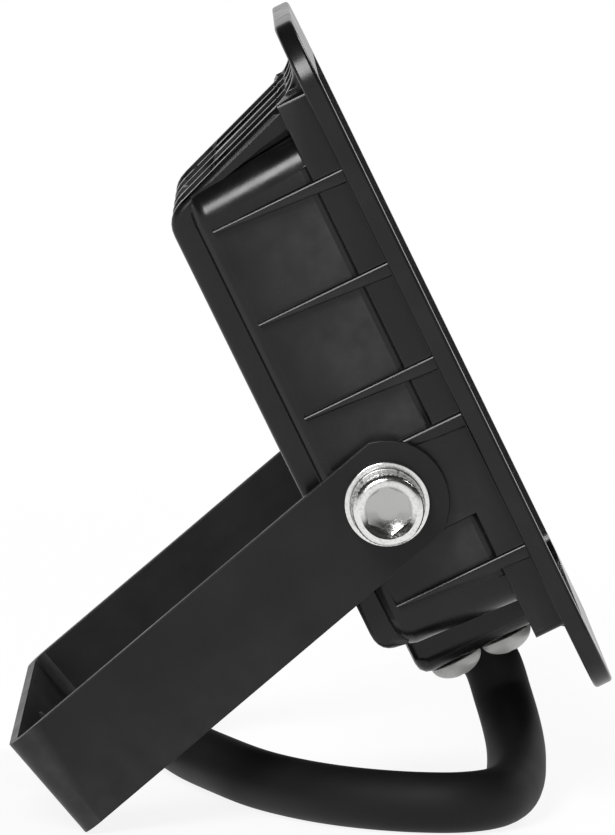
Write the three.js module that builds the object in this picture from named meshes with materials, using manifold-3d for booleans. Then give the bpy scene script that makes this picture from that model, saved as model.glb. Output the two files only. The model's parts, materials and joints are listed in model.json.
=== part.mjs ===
// LED flood light: a finned die-cast head that tilts on a bent strip bracket.
// Millimetres, +Z up. The lamp stands on the lower edge of its bracket and on its cable.
// X is the tilt axis, and the glass faces -Y and upwards.
import * as THREE from 'three';
import { mergeVertices } from 'three/addons/utils/BufferGeometryUtils.js';
import Module from 'manifold-3d';

const wasm = await Module();
wasm.setup();

// Stored pose: both angles are measured from the floor up, in degrees.
const headAngle = 26;
const armAngle = 40.4;

// Head sizes. In the head's frame X runs across, Y up the glass and Z out through the glass,
// and the tilt axis is the X axis. A value that ends in Top, Bottom, Front or Back is a place.
const face = { width: 87.2, top: 66.7, bottom: -37.5, corner: 10, thickness: 2.75, front: 17.6, edge: 0.5 };
const rim = { stand: 1.6, fillet: 1.3, top: 57.4, bottom: -27, corner: 1.2, depth: 4.35 };
const body = { width: 71.8, top: 52.2, bottom: -21.9, corner: 5, back: -7.3, edge: 2.3, draft: 1.1 };
const wall = { side: 2.4, floor: 2.4, corner: 3.6, ledge: 2.2, step: 1.6 };
const fin = {
  count: 5, inset: 2.3, thickness: 4, depth: 3.3, drop: 2.95, low: 1.8, lowCorner: 3.4, corner: 3,
};
const crest = { angle: 19.3, sweep: 61.2, root: 0.7 };
const rib = { tip: 2, thick: 0.8, thickFront: 2.2, stand: 1.1, standFront: 2 };
const ribTops = [45.1, 30.5, 15.8, 6.9, -13.9];
const boss = { top: 5.5, bottom: -7.2, back: -5.6, proud: 1.6, insideRadius: 5.6, cap: 1.7, edge: 0.5 };
const cableBox = {
  width: 30, bottom: -28.4, back: -7.5, corner: 3, edge: 1.9, wall: 2.2,
  pocketWidth: 25, pocketBack: -4.6, pocketFront: 8.8,
};
const gusset = { count: 2, spread: 52, thickness: 1.8, reach: 1.9, run: 3 };

// Glass front: the frame's border stands proud of the glass by the lip's depth
const lip = { width: 76, top: 57.9, bottom: -27.3, corner: 4, depth: 1.05 };
const glass = { width: 72, top: 55.6, bottom: -25.4, corner: 4, thickness: 1.6, sunk: 0.1 };
const seal = { lip: 2.6, thickness: 0.4 };

// Bracket: a flat strip bent twice. Its arms run from the pivot back to the base.
const strip = { width: 16.5, thickness: 1.5, bend: 3.2, endRadius: 8.9, offset: -0.1 };
const bracket = { reach: 63.1 };
const baseHole = { diameter: 10.5, slotLength: 11, slotWidth: 5.4, slotSpacing: 46 };

// Pivot hardware
const screw = {
  diameter: 6, headDiameter: 10, headHeight: 6, edge: 0.5, length: 12,
  hexWidth: 6, hexDepth: 3.2, hexTurn: 8, mouth: 7.8, coneDepth: 1, coneFloor: 3.2,
};
const flatWasher = { outer: 12, inner: 6.6, thickness: 1.5 };
const springWasher = { outer: 10.6, inner: 6.7, thickness: 1.5, gap: 1.1 };
const toothWasher = { outer: 11.4, inner: 6.7, thickness: 0.5, teeth: 14, toothDepth: 1.5, toothWidth: 0.9 };
const threadRoom = 0.3;
const hexSides = 6;
const stackGap = 0.15;

// Light source
const pedestal = { width: 28, top: 43, bottom: 15, front: 1.6 };
const plate = { width: 22, top: 40, bottom: 18, thickness: 1.6, padThickness: 0.5, padInset: 0.6 };
const phosphor = { width: 13, corner: 1.5, thickness: 0.6 };
const plateScrew = { diameter: 2.6, headDiameter: 4.4, headHeight: 1.5, length: 6, inset: 2.4 };
const reflector = { thickness: 0.7, windowWidth: 24, windowTop: 41, windowBottom: 17, windowFront: 7 };
const mouth = { inset: 3.5, top: 48.6, bottom: -19.5 };

// Driver
const driver = {
  width: 42, top: 8.4, bottom: -16.4, thickness: 1.6, front: 0.5, postRadius: 2.4, inset: 3.4,
};
const driverScrew = { diameter: 2.2, headDiameter: 3.8, headHeight: 1.3 };
const sheet = { thickness: 0.4, grow: 1.4 };
const transformer = {
  width: 11, height: 11, depth: 5.6, coreWidth: 8, coreDepth: 6.6, coreLip: 1.3, x: -8.3, y: -2.5,
};
const capacitor = { radius: 3, length: 10.5, x: 17.4, y: 1.6 };
const smallCapacitor = { radius: 2, length: 7, x: 11.8, y: 2.4 };
const choke = { radius: 3.2, height: 5.4, flange: 0.8, core: 2.1, x: -17.6, y: -4.5 };
const rectifier = { width: 6.4, height: 5, depth: 2.4, x: 3.6, y: 4.6 };
const terminal = { width: 10, height: 6, depth: 6, x: 2.6, y: -8.4, ways: 2, entry: 3, entryDepth: 0.55 };
const terminalScrew = { radius: 1.3, height: 0.7 };
const earth = { inset: 5.9, y: -13.2, postRadius: 3, postFront: 1.6 };
const earthScrew = { radius: 1.6, headRadius: 2.7, headHeight: 1.6, length: 4.6 };
const earthTag = { radius: 3.1, thickness: 0.6, width: 3, length: 8 };

// Cable entry, on the cable box's lower wall
const entry = { z: 2.05, clear: 0.25 };
const cable = { diameter: 8.6, sides: 12, steps: 44, endGap: 0.3 };
const bush = { radius: 6.2, lowRadius: 5.2, height: 4.4, stem: 1.8 };
const clampPlate = { thickness: 1.5, width: 23, height: 12.6, corner: 1.6 };
const clampScrew = {
  diameter: 3.4, headDiameter: 7.8, headHeight: 2.7, spacingX: 17.4, spacingZ: 8.1, length: 8.2,
  cross: 0.8, crossSpan: 3.4, crossDepth: 1.2,
};
const sheath = { stand: 1.6 };
const core = { diameter: 2.4, bare: 24, ring: 1.6, fan: 4.4, sides: 8, steps: 6 };
const ferrule = { diameter: 1.7, length: 8, collar: 3.1, collarLength: 4 };
const wire = { diameter: 2, bend: 2.8, sides: 8, steps: 8 };
const bendShare = 3;
const lowShare = 4;
const ledWire = {
  diameter: 1.4, x: 9.25, gap: 1.9, y: 7.4, bend: 2.6, landX: 3.6, landY: 20.4, run: 4, steps: 10,
};

// Clearances and overruns
const seat = 0.25;
const overrun = 2;
const sink = 0.3;
const arcSegments = 6;
const bevelSegments = 3;
const roundSegments = 24;
const smallSegments = 12;

const deg = Math.PI / 180;
const halfTurn = Math.PI;
const quarterTurn = Math.PI / 2;

// Derived places
const flangeBack = face.front - face.thickness;
const rimBack = flangeBack - rim.depth;
const rimFloor = rimBack + wall.step;
const floorBack = body.back;
const floorFront = body.back + wall.floor;
const cavityWidth = body.width - 2 * wall.side;
const cavityTop = body.top - body.draft - wall.side;
const cavityBottom = body.bottom + body.draft + wall.side;
const finBack = body.back - fin.depth;
const finTop = body.top - fin.drop;
const finLow = body.bottom + fin.low;
const glassBack = face.front - lip.depth - glass.sunk - glass.thickness;
const ledgeFront = glassBack - seat - seal.thickness - seat;
const stripTop = strip.width / 2 + strip.offset;
const stripBottom = -strip.width / 2 + strip.offset;
const rimWidth = body.width + 2 * rim.stand;
const bossOutside = body.width / 2 + boss.proud;
const armInside = bossOutside + seat + toothWasher.thickness + seat;
const armOutside = armInside + strip.thickness;
const mouthWidth = cavityWidth - 2 * mouth.inset;
const earthX = earth.inset - cavityWidth / 2;
const padBack = pedestal.front + seat;
const plateBack = padBack + plate.padThickness + seat;
const plateFront = plateBack + plate.thickness;
const driverBack = driver.front - driver.thickness;
const sheetBack = driverBack - seat - sheet.thickness;
const partsBack = driver.front + seat;
const tagBack = earth.postFront + seat;
const pocketBottom = cableBox.bottom + cableBox.wall;
const bushBottom = pocketBottom + seat;
const bushTop = bushBottom + bush.height;
const clampBottom = bushTop + seat;
const clampTop = clampBottom + clampPlate.thickness;
const sheathTop = clampTop + sheath.stand;

// Materials
function finish(color, roughness, metalness) {
  return new THREE.MeshStandardMaterial({ color, roughness, metalness });
}
const finishes = {
  castBlack: finish(0x0c0c0d, 0.42, 0.2),
  stripBlack: finish(0x101011, 0.5, 0.2),
  glassPane: finish(0x1a1e20, 0.05, 0),
  sealGrey: finish(0x8b8d8c, 0.7, 0),
  chrome: finish(0xd8d9d9, 0.18, 1),
  zinc: finish(0xb9bab8, 0.35, 1),
  springSteel: finish(0xa6a7a6, 0.3, 1),
  reflectorMetal: finish(0xe4e6e7, 0.2, 0.9),
  aluminium: finish(0xc4c6c8, 0.4, 1),
  phosphor: finish(0xf0d35a, 0.45, 0),
  padGrey: finish(0x9aa0a6, 0.9, 0),
  boardGreen: finish(0x1d5b38, 0.5, 0),
  insulator: finish(0xd9d4c2, 0.6, 0),
  coilTape: finish(0xd2b23c, 0.5, 0),
  canBlack: finish(0x1f2430, 0.4, 0.1),
  copper: finish(0xb5683a, 0.35, 0.9),
  blackPlastic: finish(0x191919, 0.5, 0),
  greyPlastic: finish(0xc9cac8, 0.55, 0),
  rubber: finish(0x161616, 0.75, 0),
  coreBrown: finish(0x5a3420, 0.5, 0),
  coreBlue: finish(0x2450a0, 0.5, 0),
  coreGreen: finish(0x5f9a2c, 0.5, 0),
  wireRed: finish(0xb02020, 0.5, 0),
  wireBlack: finish(0x202020, 0.5, 0),
  ferruleBlue: finish(0x3c6fc4, 0.45, 0),
};

// Solids: closed triangle meshes that can be joined and cut
function toSolid(geometry) {
  const bare = geometry.clone();
  bare.deleteAttribute('normal');
  bare.deleteAttribute('uv');
  const merged = mergeVertices(bare);
  return new wasm.Manifold(new wasm.Mesh({
    numProp: 3,
    vertProperties: new Float32Array(merged.attributes.position.array),
    triVerts: new Uint32Array(merged.index.array),
  }));
}
function toGeometry(solid) {
  const { vertProperties, triVerts } = solid.getMesh();
  const geometry = new THREE.BufferGeometry();
  geometry.setAttribute('position', new THREE.BufferAttribute(vertProperties, 3));
  geometry.setIndex(new THREE.BufferAttribute(triVerts, 1));
  geometry.computeVertexNormals();
  return geometry;
}
function join(geometries) {
  const [first, ...others] = geometries;
  return add(toSolid(first), others);
}
function add(solid, geometries) {
  return geometries.map(toSolid).reduce((whole, piece) => whole.add(piece), solid);
}
function cut(solid, geometries) {
  return geometries.map(toSolid).reduce((whole, tool) => whole.subtract(tool), solid);
}

// Outlines
function roundedRect(x0, y0, x1, y1, radius) {
  const shape = new THREE.Shape();
  shape.moveTo(x0 + radius, y0);
  shape.lineTo(x1 - radius, y0);
  shape.absarc(x1 - radius, y0 + radius, radius, -quarterTurn, 0);
  shape.lineTo(x1, y1 - radius);
  shape.absarc(x1 - radius, y1 - radius, radius, 0, quarterTurn);
  shape.lineTo(x0 + radius, y1);
  shape.absarc(x0 + radius, y1 - radius, radius, quarterTurn, halfTurn);
  shape.lineTo(x0, y0 + radius);
  shape.absarc(x0 + radius, y0 + radius, radius, halfTurn, halfTurn + quarterTurn);
  return shape;
}
function centredRect(width, bottom, top, radius) {
  return roundedRect(-width / 2, bottom, width / 2, top, radius);
}

// Extrusions. Along Z the outline lies in X and Y, along X it lies in Z and Y, and along Y in X and Z.
function extrudeZ(shape, back, front, edge = 0) {
  const geometry = new THREE.ExtrudeGeometry(shape, {
    depth: front - back - 2 * edge,
    bevelEnabled: edge > 0,
    bevelThickness: edge,
    bevelSize: edge,
    bevelOffset: -edge,
    bevelSegments,
    curveSegments: arcSegments,
  });
  return geometry.translate(0, 0, back + edge);
}
function extrudeX(shape, left, right) {
  const settings = { depth: right - left, bevelEnabled: false, curveSegments: arcSegments };
  const geometry = new THREE.ExtrudeGeometry(shape, settings);
  return geometry.rotateY(-quarterTurn).translate(right, 0, 0);
}
function extrudeY(shape, bottom, top) {
  const settings = { depth: top - bottom, bevelEnabled: false, curveSegments: arcSegments };
  const geometry = new THREE.ExtrudeGeometry(shape, settings);
  return geometry.rotateX(quarterTurn).translate(0, top, 0);
}
function box(x0, x1, y0, y1, z0, z1) {
  const geometry = new THREE.BoxGeometry(x1 - x0, y1 - y0, z1 - z0);
  return geometry.translate((x0 + x1) / 2, (y0 + y1) / 2, (z0 + z1) / 2);
}
function rodX(radius, left, right, segments = roundSegments) {
  const geometry = new THREE.CylinderGeometry(radius, radius, right - left, segments);
  return geometry.rotateZ(quarterTurn).translate((left + right) / 2, 0, 0);
}
function rodY(radius, bottom, top, segments = roundSegments) {
  const geometry = new THREE.CylinderGeometry(radius, radius, top - bottom, segments);
  return geometry.translate(0, (bottom + top) / 2, 0);
}
function rodZ(radius, back, front, segments = roundSegments) {
  const geometry = new THREE.CylinderGeometry(radius, radius, front - back, segments);
  return geometry.rotateX(quarterTurn).translate(0, 0, (back + front) / 2);
}
// A block that runs from one rectangle to another, each given as [x0, x1, y0, y1, z]
function loftZ(rear, fore) {
  const geometry = new THREE.BoxGeometry(1, 1, 1);
  const place = geometry.attributes.position;
  for (let i = 0; i < place.count; i += 1) {
    const rect = place.getZ(i) < 0 ? rear : fore;
    const x = place.getX(i) < 0 ? rect[0] : rect[1];
    const y = place.getY(i) < 0 ? rect[2] : rect[3];
    place.setXYZ(i, x, y, rect[4]);
  }
  return geometry;
}
// A turned piece round the Y axis, from [radius, height] pairs
function turned(profile, segments = roundSegments) {
  return new THREE.LatheGeometry(profile.map(([r, y]) => new THREE.Vector2(r, y)), segments);
}
function ring(outer, inner, bottom, top, segments = roundSegments) {
  const profile = [[inner, bottom], [outer, bottom], [outer, top], [inner, top], [inner, bottom]];
  return turned(profile, segments);
}
// A round tube along a list of points
function tube(points, radius, sides, steps) {
  const path = points.map(([x, y, z]) => new THREE.Vector3(x, y, z));
  const extrudePath = new THREE.CatmullRomCurve3(path, false, 'centripetal');
  const circle = new THREE.EllipseCurve(0, 0, radius, radius);
  const section = new THREE.Shape(circle.getPoints(sides).slice(0, sides));
  return new THREE.ExtrudeGeometry(section, { steps, extrudePath, bevelEnabled: false });
}
function spaced(count, spread) {
  return Array.from({ length: count }, (_, i) => (count > 1 ? spread * (i / (count - 1) - 1 / 2) : 0));
}

// Housing
function finProfile() {
  const slope = Math.tan(crest.angle * deg);
  const crestAt = (z) => finTop + (z - finBack) * slope;
  const bend = flangeBack - crest.root;
  const inside = (floorBack + floorFront) / 2;
  const shape = new THREE.Shape();
  shape.moveTo(inside, finLow);
  shape.lineTo(floorBack, finLow);
  shape.quadraticCurveTo(finBack, finLow, finBack, finLow + fin.lowCorner);
  shape.lineTo(finBack, finTop - fin.corner);
  shape.quadraticCurveTo(finBack, finTop, finBack + fin.corner, crestAt(finBack + fin.corner));
  shape.lineTo(rimBack, crestAt(rimBack));
  shape.quadraticCurveTo(bend, crestAt(bend), flangeBack + sink, crest.sweep);
  shape.lineTo(flangeBack + sink, body.top);
  shape.lineTo(inside, (body.top + cavityTop) / 2);
  return shape;
}
function fins() {
  const spread = body.width - 2 * fin.inset - fin.thickness;
  return spaced(fin.count, spread).map((x) => (
    extrudeX(finProfile(), x - fin.thickness / 2, x + fin.thickness / 2)));
}
function span(a, b) {
  return [Math.min(a, b), Math.max(a, b)];
}
const wallMiddle = (body.width - wall.side) / 2;
function sideRibs(side) {
  const rear = span(side * wallMiddle, side * (body.width / 2 + rib.stand));
  const fore = span(side * wallMiddle, side * (body.width / 2 + rib.standFront));
  return ribTops.map((top) => {
    const tip = [...rear, top - rib.thick, top, body.back + rib.tip];
    return loftZ(tip, [...fore, top - rib.thickFront, top, flangeBack + sink]);
  });
}
function pivotBoss(side) {
  const shape = roundedRect(boss.back, boss.bottom, flangeBack + sink, boss.top, boss.edge);
  return extrudeX(shape, ...span(side * bossOutside, side * wallMiddle));
}
function holeEnd() {
  return stack(1).head - screw.length - stackGap - threadRoom;
}
function innerBoss(side) {
  return rodX(boss.insideRadius, ...span(side * (holeEnd() - boss.cap), side * wallMiddle));
}
function pivotHole(side) {
  return rodX(screw.diameter / 2 + threadRoom, ...span(side * (bossOutside + overrun), side * holeEnd()));
}
function bottomGussets() {
  const shape = new THREE.Shape();
  shape.moveTo(flangeBack - gusset.run, rim.bottom + sink);
  shape.lineTo(flangeBack - gusset.run, rim.bottom);
  shape.lineTo(flangeBack, rim.bottom - gusset.reach);
  shape.lineTo(flangeBack + sink, rim.bottom - gusset.reach);
  shape.lineTo(flangeBack + sink, rim.bottom + sink);
  return spaced(gusset.count, gusset.spread).map((x) => (
    extrudeX(shape, x - gusset.thickness / 2, x + gusset.thickness / 2)));
}
function driverCorners() {
  const x = driver.width / 2 - driver.inset;
  return [[-x, driver.top - driver.inset], [x, driver.bottom + driver.inset]];
}
function driverPosts() {
  const middle = (floorBack + floorFront) / 2;
  const front = sheetBack - seat;
  return driverCorners().map(([x, y]) => (
    rodZ(driver.postRadius, middle, front, smallSegments).translate(x, y, 0)));
}
function clampPlaces() {
  const x = clampScrew.spacingX / 2;
  const z = clampScrew.spacingZ / 2;
  return [[-x, entry.z - z], [-x, entry.z + z], [x, entry.z - z], [x, entry.z + z]];
}
// The body's upper and lower walls lean inwards towards its back
function draftedBody() {
  const front = rimBack + body.edge + sink;
  const shape = centredRect(body.width, body.bottom, body.top, body.corner);
  const geometry = extrudeZ(shape, body.back, front, body.edge);
  const place = geometry.attributes.position;
  const middle = (body.top + body.bottom) / 2;
  for (let i = 0; i < place.count; i += 1) {
    const lean = body.draft * (front - place.getZ(i)) / (front - body.back);
    const side = Math.sign(place.getY(i) - middle);
    place.setY(i, place.getY(i) - side * lean);
  }
  return geometry;
}
// A concave fillet in the corner between the side wall and the rim
function wallFillet(side) {
  const x = side * body.width / 2;
  const r = rim.fillet;
  const low = rimBack - r;
  const start = side > 0 ? halfTurn : 0;
  const shape = new THREE.Shape();
  shape.moveTo(x - side * sink, rimBack + sink);
  shape.lineTo(x - side * sink, low);
  shape.lineTo(x, low);
  shape.absarc(x + side * r, low, r, start, quarterTurn, side > 0);
  shape.lineTo(x + side * r, rimBack + sink);
  return extrudeY(shape, body.bottom + body.corner, body.top - body.corner);
}
function makeHousing() {
  const boxFront = rimBack + cableBox.edge + sink;
  const boxTop = body.bottom + cableBox.corner;
  const boxShape = centredRect(cableBox.width, cableBox.bottom, boxTop, cableBox.corner);
  const flangeShape = centredRect(face.width, face.bottom, face.top, face.corner);
  const floorMiddle = (floorBack + floorFront) / 2;
  const skin = join([
    extrudeZ(flangeShape, flangeBack, face.front, face.edge),
    extrudeZ(centredRect(rimWidth, rim.bottom, rim.top, rim.corner), rimBack, flangeBack + sink),
    draftedBody(),
    extrudeZ(boxShape, cableBox.back, boxFront, cableBox.edge),
    ...fins(),
    ...bottomGussets(),
    ...[-1, 1].flatMap((side) => [...sideRibs(side), pivotBoss(side), wallFillet(side)]),
  ]);
  const front = face.front + overrun;
  const pocket = cableBox.pocketWidth / 2;
  const ledgeWidth = rimWidth - 2 * wall.ledge;
  const ledge = centredRect(ledgeWidth, rim.bottom + wall.ledge, rim.top - wall.ledge, wall.corner);
  const recessWidth = glass.width + 2 * seat;
  const recess = centredRect(recessWidth, glass.bottom - seat, glass.top + seat, glass.corner);
  const lipBack = face.front - lip.depth;
  const hollow = cut(skin, [
    extrudeZ(centredRect(cavityWidth, cavityBottom, cavityTop, wall.corner), floorFront, front),
    extrudeZ(ledge, rimFloor, front),
    extrudeZ(recess, ledgeFront, front),
    extrudeZ(centredRect(lip.width, lip.bottom, lip.top, lip.corner), lipBack, front),
    box(-pocket, pocket, pocketBottom, cavityBottom + overrun, cableBox.pocketBack, cableBox.pocketFront),
  ]);
  const furnished = add(hollow, [
    ...[-1, 1].map(innerBoss),
    box(-pedestal.width / 2, pedestal.width / 2, pedestal.bottom, pedestal.top, floorMiddle, pedestal.front),
    ...driverPosts(),
    rodZ(earth.postRadius, floorMiddle, earth.postFront, smallSegments).translate(earthX, earth.y, 0),
  ]);
  const low = cableBox.bottom - overrun;
  const high = pocketBottom + overrun;
  const clampHole = clampScrew.diameter / 2 + entry.clear;
  const earthRadius = earthScrew.radius + entry.clear;
  const earthHole = rodZ(earthRadius, floorFront, earth.postFront + overrun, smallSegments);
  return cut(furnished, [
    ...[-1, 1].map(pivotHole),
    rodY(cable.diameter / 2 + entry.clear, low, high).translate(0, 0, entry.z),
    ...clampPlaces().map(([x, z]) => rodY(clampHole, low, high, smallSegments).translate(x, 0, z)),
    ...plateHoles(floorFront, pedestal.front + overrun),
    ...driverHoles(floorFront, driver.front),
    earthHole.translate(earthX, earth.y, 0),
  ]);
}

// Glass front
function makeGlass() {
  const shape = centredRect(glass.width, glass.bottom, glass.top, glass.corner - seat);
  return toSolid(extrudeZ(shape, glassBack, glassBack + glass.thickness));
}
function makeSeal() {
  const outer = centredRect(glass.width, glass.bottom, glass.top, glass.corner - seat);
  const x = glass.width / 2 - seal.lip;
  outer.holes.push(roundedRect(-x, glass.bottom + seal.lip, x, glass.top - seal.lip, wall.corner));
  return toSolid(extrudeZ(outer, ledgeFront + seat, ledgeFront + seat + seal.thickness));
}
function makeReflector() {
  const t = reflector.thickness;
  const lipBack = rimFloor + seat;
  const lipFront = lipBack + t;
  const flange = wall.ledge + seat;
  const edgeWidth = rimWidth - 2 * flange;
  const edgeShape = centredRect(edgeWidth, rim.bottom + flange, rim.top - flange, wall.corner - seat);
  const mouthRect = [-mouthWidth / 2, mouthWidth / 2, mouth.bottom, mouth.top];
  const x = reflector.windowWidth / 2;
  const windowRect = [-x, x, reflector.windowBottom, reflector.windowTop];
  const run = (lipFront - reflector.windowFront) / t;
  const beyond = (from, to) => from.map((value, i) => value + (value - to[i]) / run);
  const grow = ([x0, x1, y0, y1]) => [x0 - t, x1 + t, y0 - t, y1 + t];
  const outer = loftZ([...grow(windowRect), reflector.windowFront], [...grow(mouthRect), lipFront]);
  const rear = [...beyond(windowRect, mouthRect), reflector.windowFront - t];
  const inner = loftZ(rear, [...beyond(mouthRect, windowRect), lipFront + t]);
  return cut(join([extrudeZ(edgeShape, lipBack, lipFront), outer]), [inner]);
}
function plateScrewPlaces() {
  const x = plate.width / 2 - plateScrew.inset;
  const low = plate.bottom + plateScrew.inset;
  const high = plate.top - plateScrew.inset;
  return [[-x, low], [x, low], [-x, high], [x, high]];
}
function plateHoles(back, front) {
  const radius = plateScrew.diameter / 2 + entry.clear;
  return plateScrewPlaces().map(([x, y]) => rodZ(radius, back, front, smallSegments).translate(x, y, 0));
}
function makePad() {
  const x = plate.width / 2 - plate.padInset;
  const low = plate.bottom + plate.padInset;
  const high = plate.top - plate.padInset;
  const pad = box(-x, x, low, high, padBack, padBack + plate.padThickness);
  return cut(toSolid(pad), plateHoles(padBack - overrun, plateFront));
}
function makePlate() {
  const sheetOfMetal = box(-plate.width / 2, plate.width / 2, plate.bottom, plate.top, plateBack, plateFront);
  return cut(toSolid(sheetOfMetal), plateHoles(plateBack - overrun, plateFront + overrun));
}
function makePhosphor() {
  const middle = (plate.top + plate.bottom) / 2;
  const half = phosphor.width / 2;
  const shape = roundedRect(-half, middle - half, half, middle + half, phosphor.corner);
  return toSolid(extrudeZ(shape, plateFront + seat, plateFront + seat + phosphor.thickness));
}
// A pan-head screw that points to -Z, with the underside of its head at zero
function panScrew(diameter, length, headDiameter, headHeight) {
  const r = diameter / 2;
  const R = headDiameter / 2;
  const head = [[R, 0], [R, headHeight / 2], [r, headHeight], [0, headHeight]];
  const profile = [[0, -length], [r, -length], [r, 0], ...head];
  return turned(profile, smallSegments).rotateX(quarterTurn);
}
function makePlateScrew([x, y]) {
  const { diameter, length, headDiameter, headHeight } = plateScrew;
  return toSolid(panScrew(diameter, length, headDiameter, headHeight).translate(x, y, plateFront + seat));
}

// Driver
function driverHoles(back, front) {
  const radius = driverScrew.diameter / 2 + entry.clear;
  return driverCorners().map(([x, y]) => rodZ(radius, back, front, smallSegments).translate(x, y, 0));
}
function makeDriverBoard() {
  const x = driver.width / 2;
  const circuit = box(-x, x, driver.bottom, driver.top, driverBack, driver.front);
  return cut(toSolid(circuit), driverHoles(driverBack - overrun, driver.front + overrun));
}
function makeSheet() {
  const x = driver.width / 2 + sheet.grow;
  const low = driver.bottom - sheet.grow;
  const high = driver.top + sheet.grow;
  const film = box(-x, x, low, high, sheetBack, sheetBack + sheet.thickness);
  return cut(toSolid(film), driverHoles(sheetBack - overrun, driver.front));
}
function makeDriverScrew([x, y]) {
  const { diameter, headDiameter, headHeight } = driverScrew;
  const length = partsBack - floorFront - seat;
  return toSolid(panScrew(diameter, length, headDiameter, headHeight).translate(x, y, partsBack));
}
function makeTransformer() {
  const { x, y, width, height, depth, coreWidth, coreDepth, coreLip } = transformer;
  const reach = height / 2 + coreLip;
  return join([
    box(x - width / 2, x + width / 2, y - height / 2, y + height / 2, partsBack, partsBack + depth),
    box(x - coreWidth / 2, x + coreWidth / 2, y - reach, y + reach, partsBack + seat, partsBack + coreDepth),
  ]);
}
function makeCapacitor({ radius, length, x, y }) {
  const can = rodY(radius, y - length / 2, y + length / 2, smallSegments);
  return toSolid(can.translate(x, 0, partsBack + radius));
}
function makeChoke() {
  const { radius, height, flange, x, y } = choke;
  const low = [[0, 0], [radius, 0], [radius, flange], [choke.core, flange]];
  const high = [[choke.core, height - flange], [radius, height - flange], [radius, height], [0, height]];
  const profile = [...low, ...high];
  return toSolid(turned(profile, smallSegments).rotateX(quarterTurn).translate(x, y, partsBack));
}
function makeRectifier() {
  const { width, height, depth, x, y } = rectifier;
  const low = y - height / 2;
  return toSolid(box(x - width / 2, x + width / 2, low, low + height, partsBack, partsBack + depth));
}
function terminalWays() {
  return spaced(terminal.ways, terminal.width / terminal.ways).map((x) => terminal.x + x);
}
function makeTerminal() {
  const { width, height, depth, x, y } = terminal;
  const low = y - height / 2;
  const middle = partsBack + depth / 2;
  const block = box(x - width / 2, x + width / 2, low, low + height, partsBack, partsBack + depth);
  const mouths = terminalWays().map((way) => (
    rodY(terminal.entry / 2, low - overrun, y, smallSegments).translate(way, 0, middle)));
  return cut(toSolid(block), mouths);
}
function makeTerminalScrew(way) {
  const back = partsBack + terminal.depth + seat;
  const head = rodZ(terminalScrew.radius, back, back + terminalScrew.height, smallSegments);
  return toSolid(head.translate(way, terminal.y, 0));
}
function makeEarthScrew() {
  const { radius, headRadius, headHeight, length } = earthScrew;
  const place = tagBack + earthTag.thickness + seat;
  return toSolid(panScrew(2 * radius, length, 2 * headRadius, headHeight).translate(earthX, earth.y, place));
}
function makeEarthTag() {
  const front = tagBack + earthTag.thickness;
  const half = earthTag.width / 2;
  const eye = rodZ(earthTag.radius, tagBack, front, smallSegments).translate(earthX, earth.y, 0);
  const hole = rodZ(earthScrew.radius + entry.clear, tagBack - overrun, front + overrun, smallSegments);
  const tail = box(earthX, earthX + earthTag.length, earth.y - half, earth.y + half, tagBack, front);
  return cut(join([eye, tail]), [hole.translate(earthX, earth.y, 0)]);
}

// Cable entry
function makeBush() {
  const bore = cable.diameter / 2 + seat;
  const profile = [[bore, bushBottom], [bush.radius, bushBottom], [bush.radius, bushBottom + bush.stem],
    [bush.lowRadius, bushTop], [bore, bushTop], [bore, bushBottom]];
  return toSolid(turned(profile).translate(0, 0, entry.z));
}
function makeClampPlate() {
  const { width, height, corner } = clampPlate;
  const shape = roundedRect(-width / 2, entry.z - height / 2, width / 2, entry.z + height / 2, corner);
  const low = clampBottom - overrun;
  const high = clampTop + overrun;
  const radius = clampScrew.diameter / 2 + entry.clear;
  const holes = clampPlaces().map(([x, z]) => rodY(radius, low, high, smallSegments).translate(x, 0, z));
  const bore = rodY(cable.diameter / 2 + seat, low, high).translate(0, 0, entry.z);
  return cut(toSolid(extrudeY(shape, clampBottom, clampTop)), [bore, ...holes]);
}
function makeClampScrew([x, z]) {
  const top = cableBox.bottom - seat;
  const r = clampScrew.headDiameter / 2;
  const shank = clampScrew.diameter / 2;
  const low = top - clampScrew.headHeight;
  const end = top + clampScrew.length;
  const curve = new THREE.EllipseCurve(0, top, r, clampScrew.headHeight, -quarterTurn, 0);
  const dome = curve.getPoints(arcSegments);
  const profile = [...dome.map((p) => [Math.max(p.x, 0), p.y]), [shank, top], [shank, end], [0, end]];
  const half = clampScrew.cross / 2;
  const reach = clampScrew.crossSpan / 2;
  const high = low + clampScrew.crossDepth;
  const start = low - overrun;
  const cross = [box(-reach, reach, start, high, -half, half), box(-half, half, start, high, -reach, reach)];
  return cut(toSolid(turned(profile)), cross).translate([x, 0, z]);
}
function makeSheathEnd() {
  const sheathEnd = rodY(cable.diameter / 2, cableBox.bottom, sheathTop, cable.sides);
  return toSolid(sheathEnd.translate(0, 0, entry.z));
}

// Inner wires
function makeWire(points, { diameter, steps }) {
  return toSolid(tube(points, diameter / 2, wire.sides, steps));
}
function wireStart(place) {
  return [place * (wire.diameter + seat), sheathTop + seat, entry.z];
}
function makeMainsWire(place, way) {
  const [x, y, z] = wireStart(place);
  const end = terminal.y - terminal.height / 2 + terminal.entryDepth;
  const front = partsBack + terminal.depth / 2;
  const lead = [[x, y, z], [x, y + wire.diameter / 2, z]];
  const rise = [way, end - wire.bend, front - wire.diameter / lowShare];
  return makeWire([...lead, rise, [way, end, front]], wire);
}
function makeEarthWire() {
  const [x, y, z] = wireStart(-1);
  const end = earthX + earthTag.length + seat;
  const front = tagBack + earthTag.thickness / 2;
  const lead = [[x, y, z], [x, y + wire.diameter / 2, z]];
  const turn = x - 2 * wire.bend - wire.diameter;
  return makeWire([...lead, [turn, earth.y, front], [end, earth.y, front]], wire);
}
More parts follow.
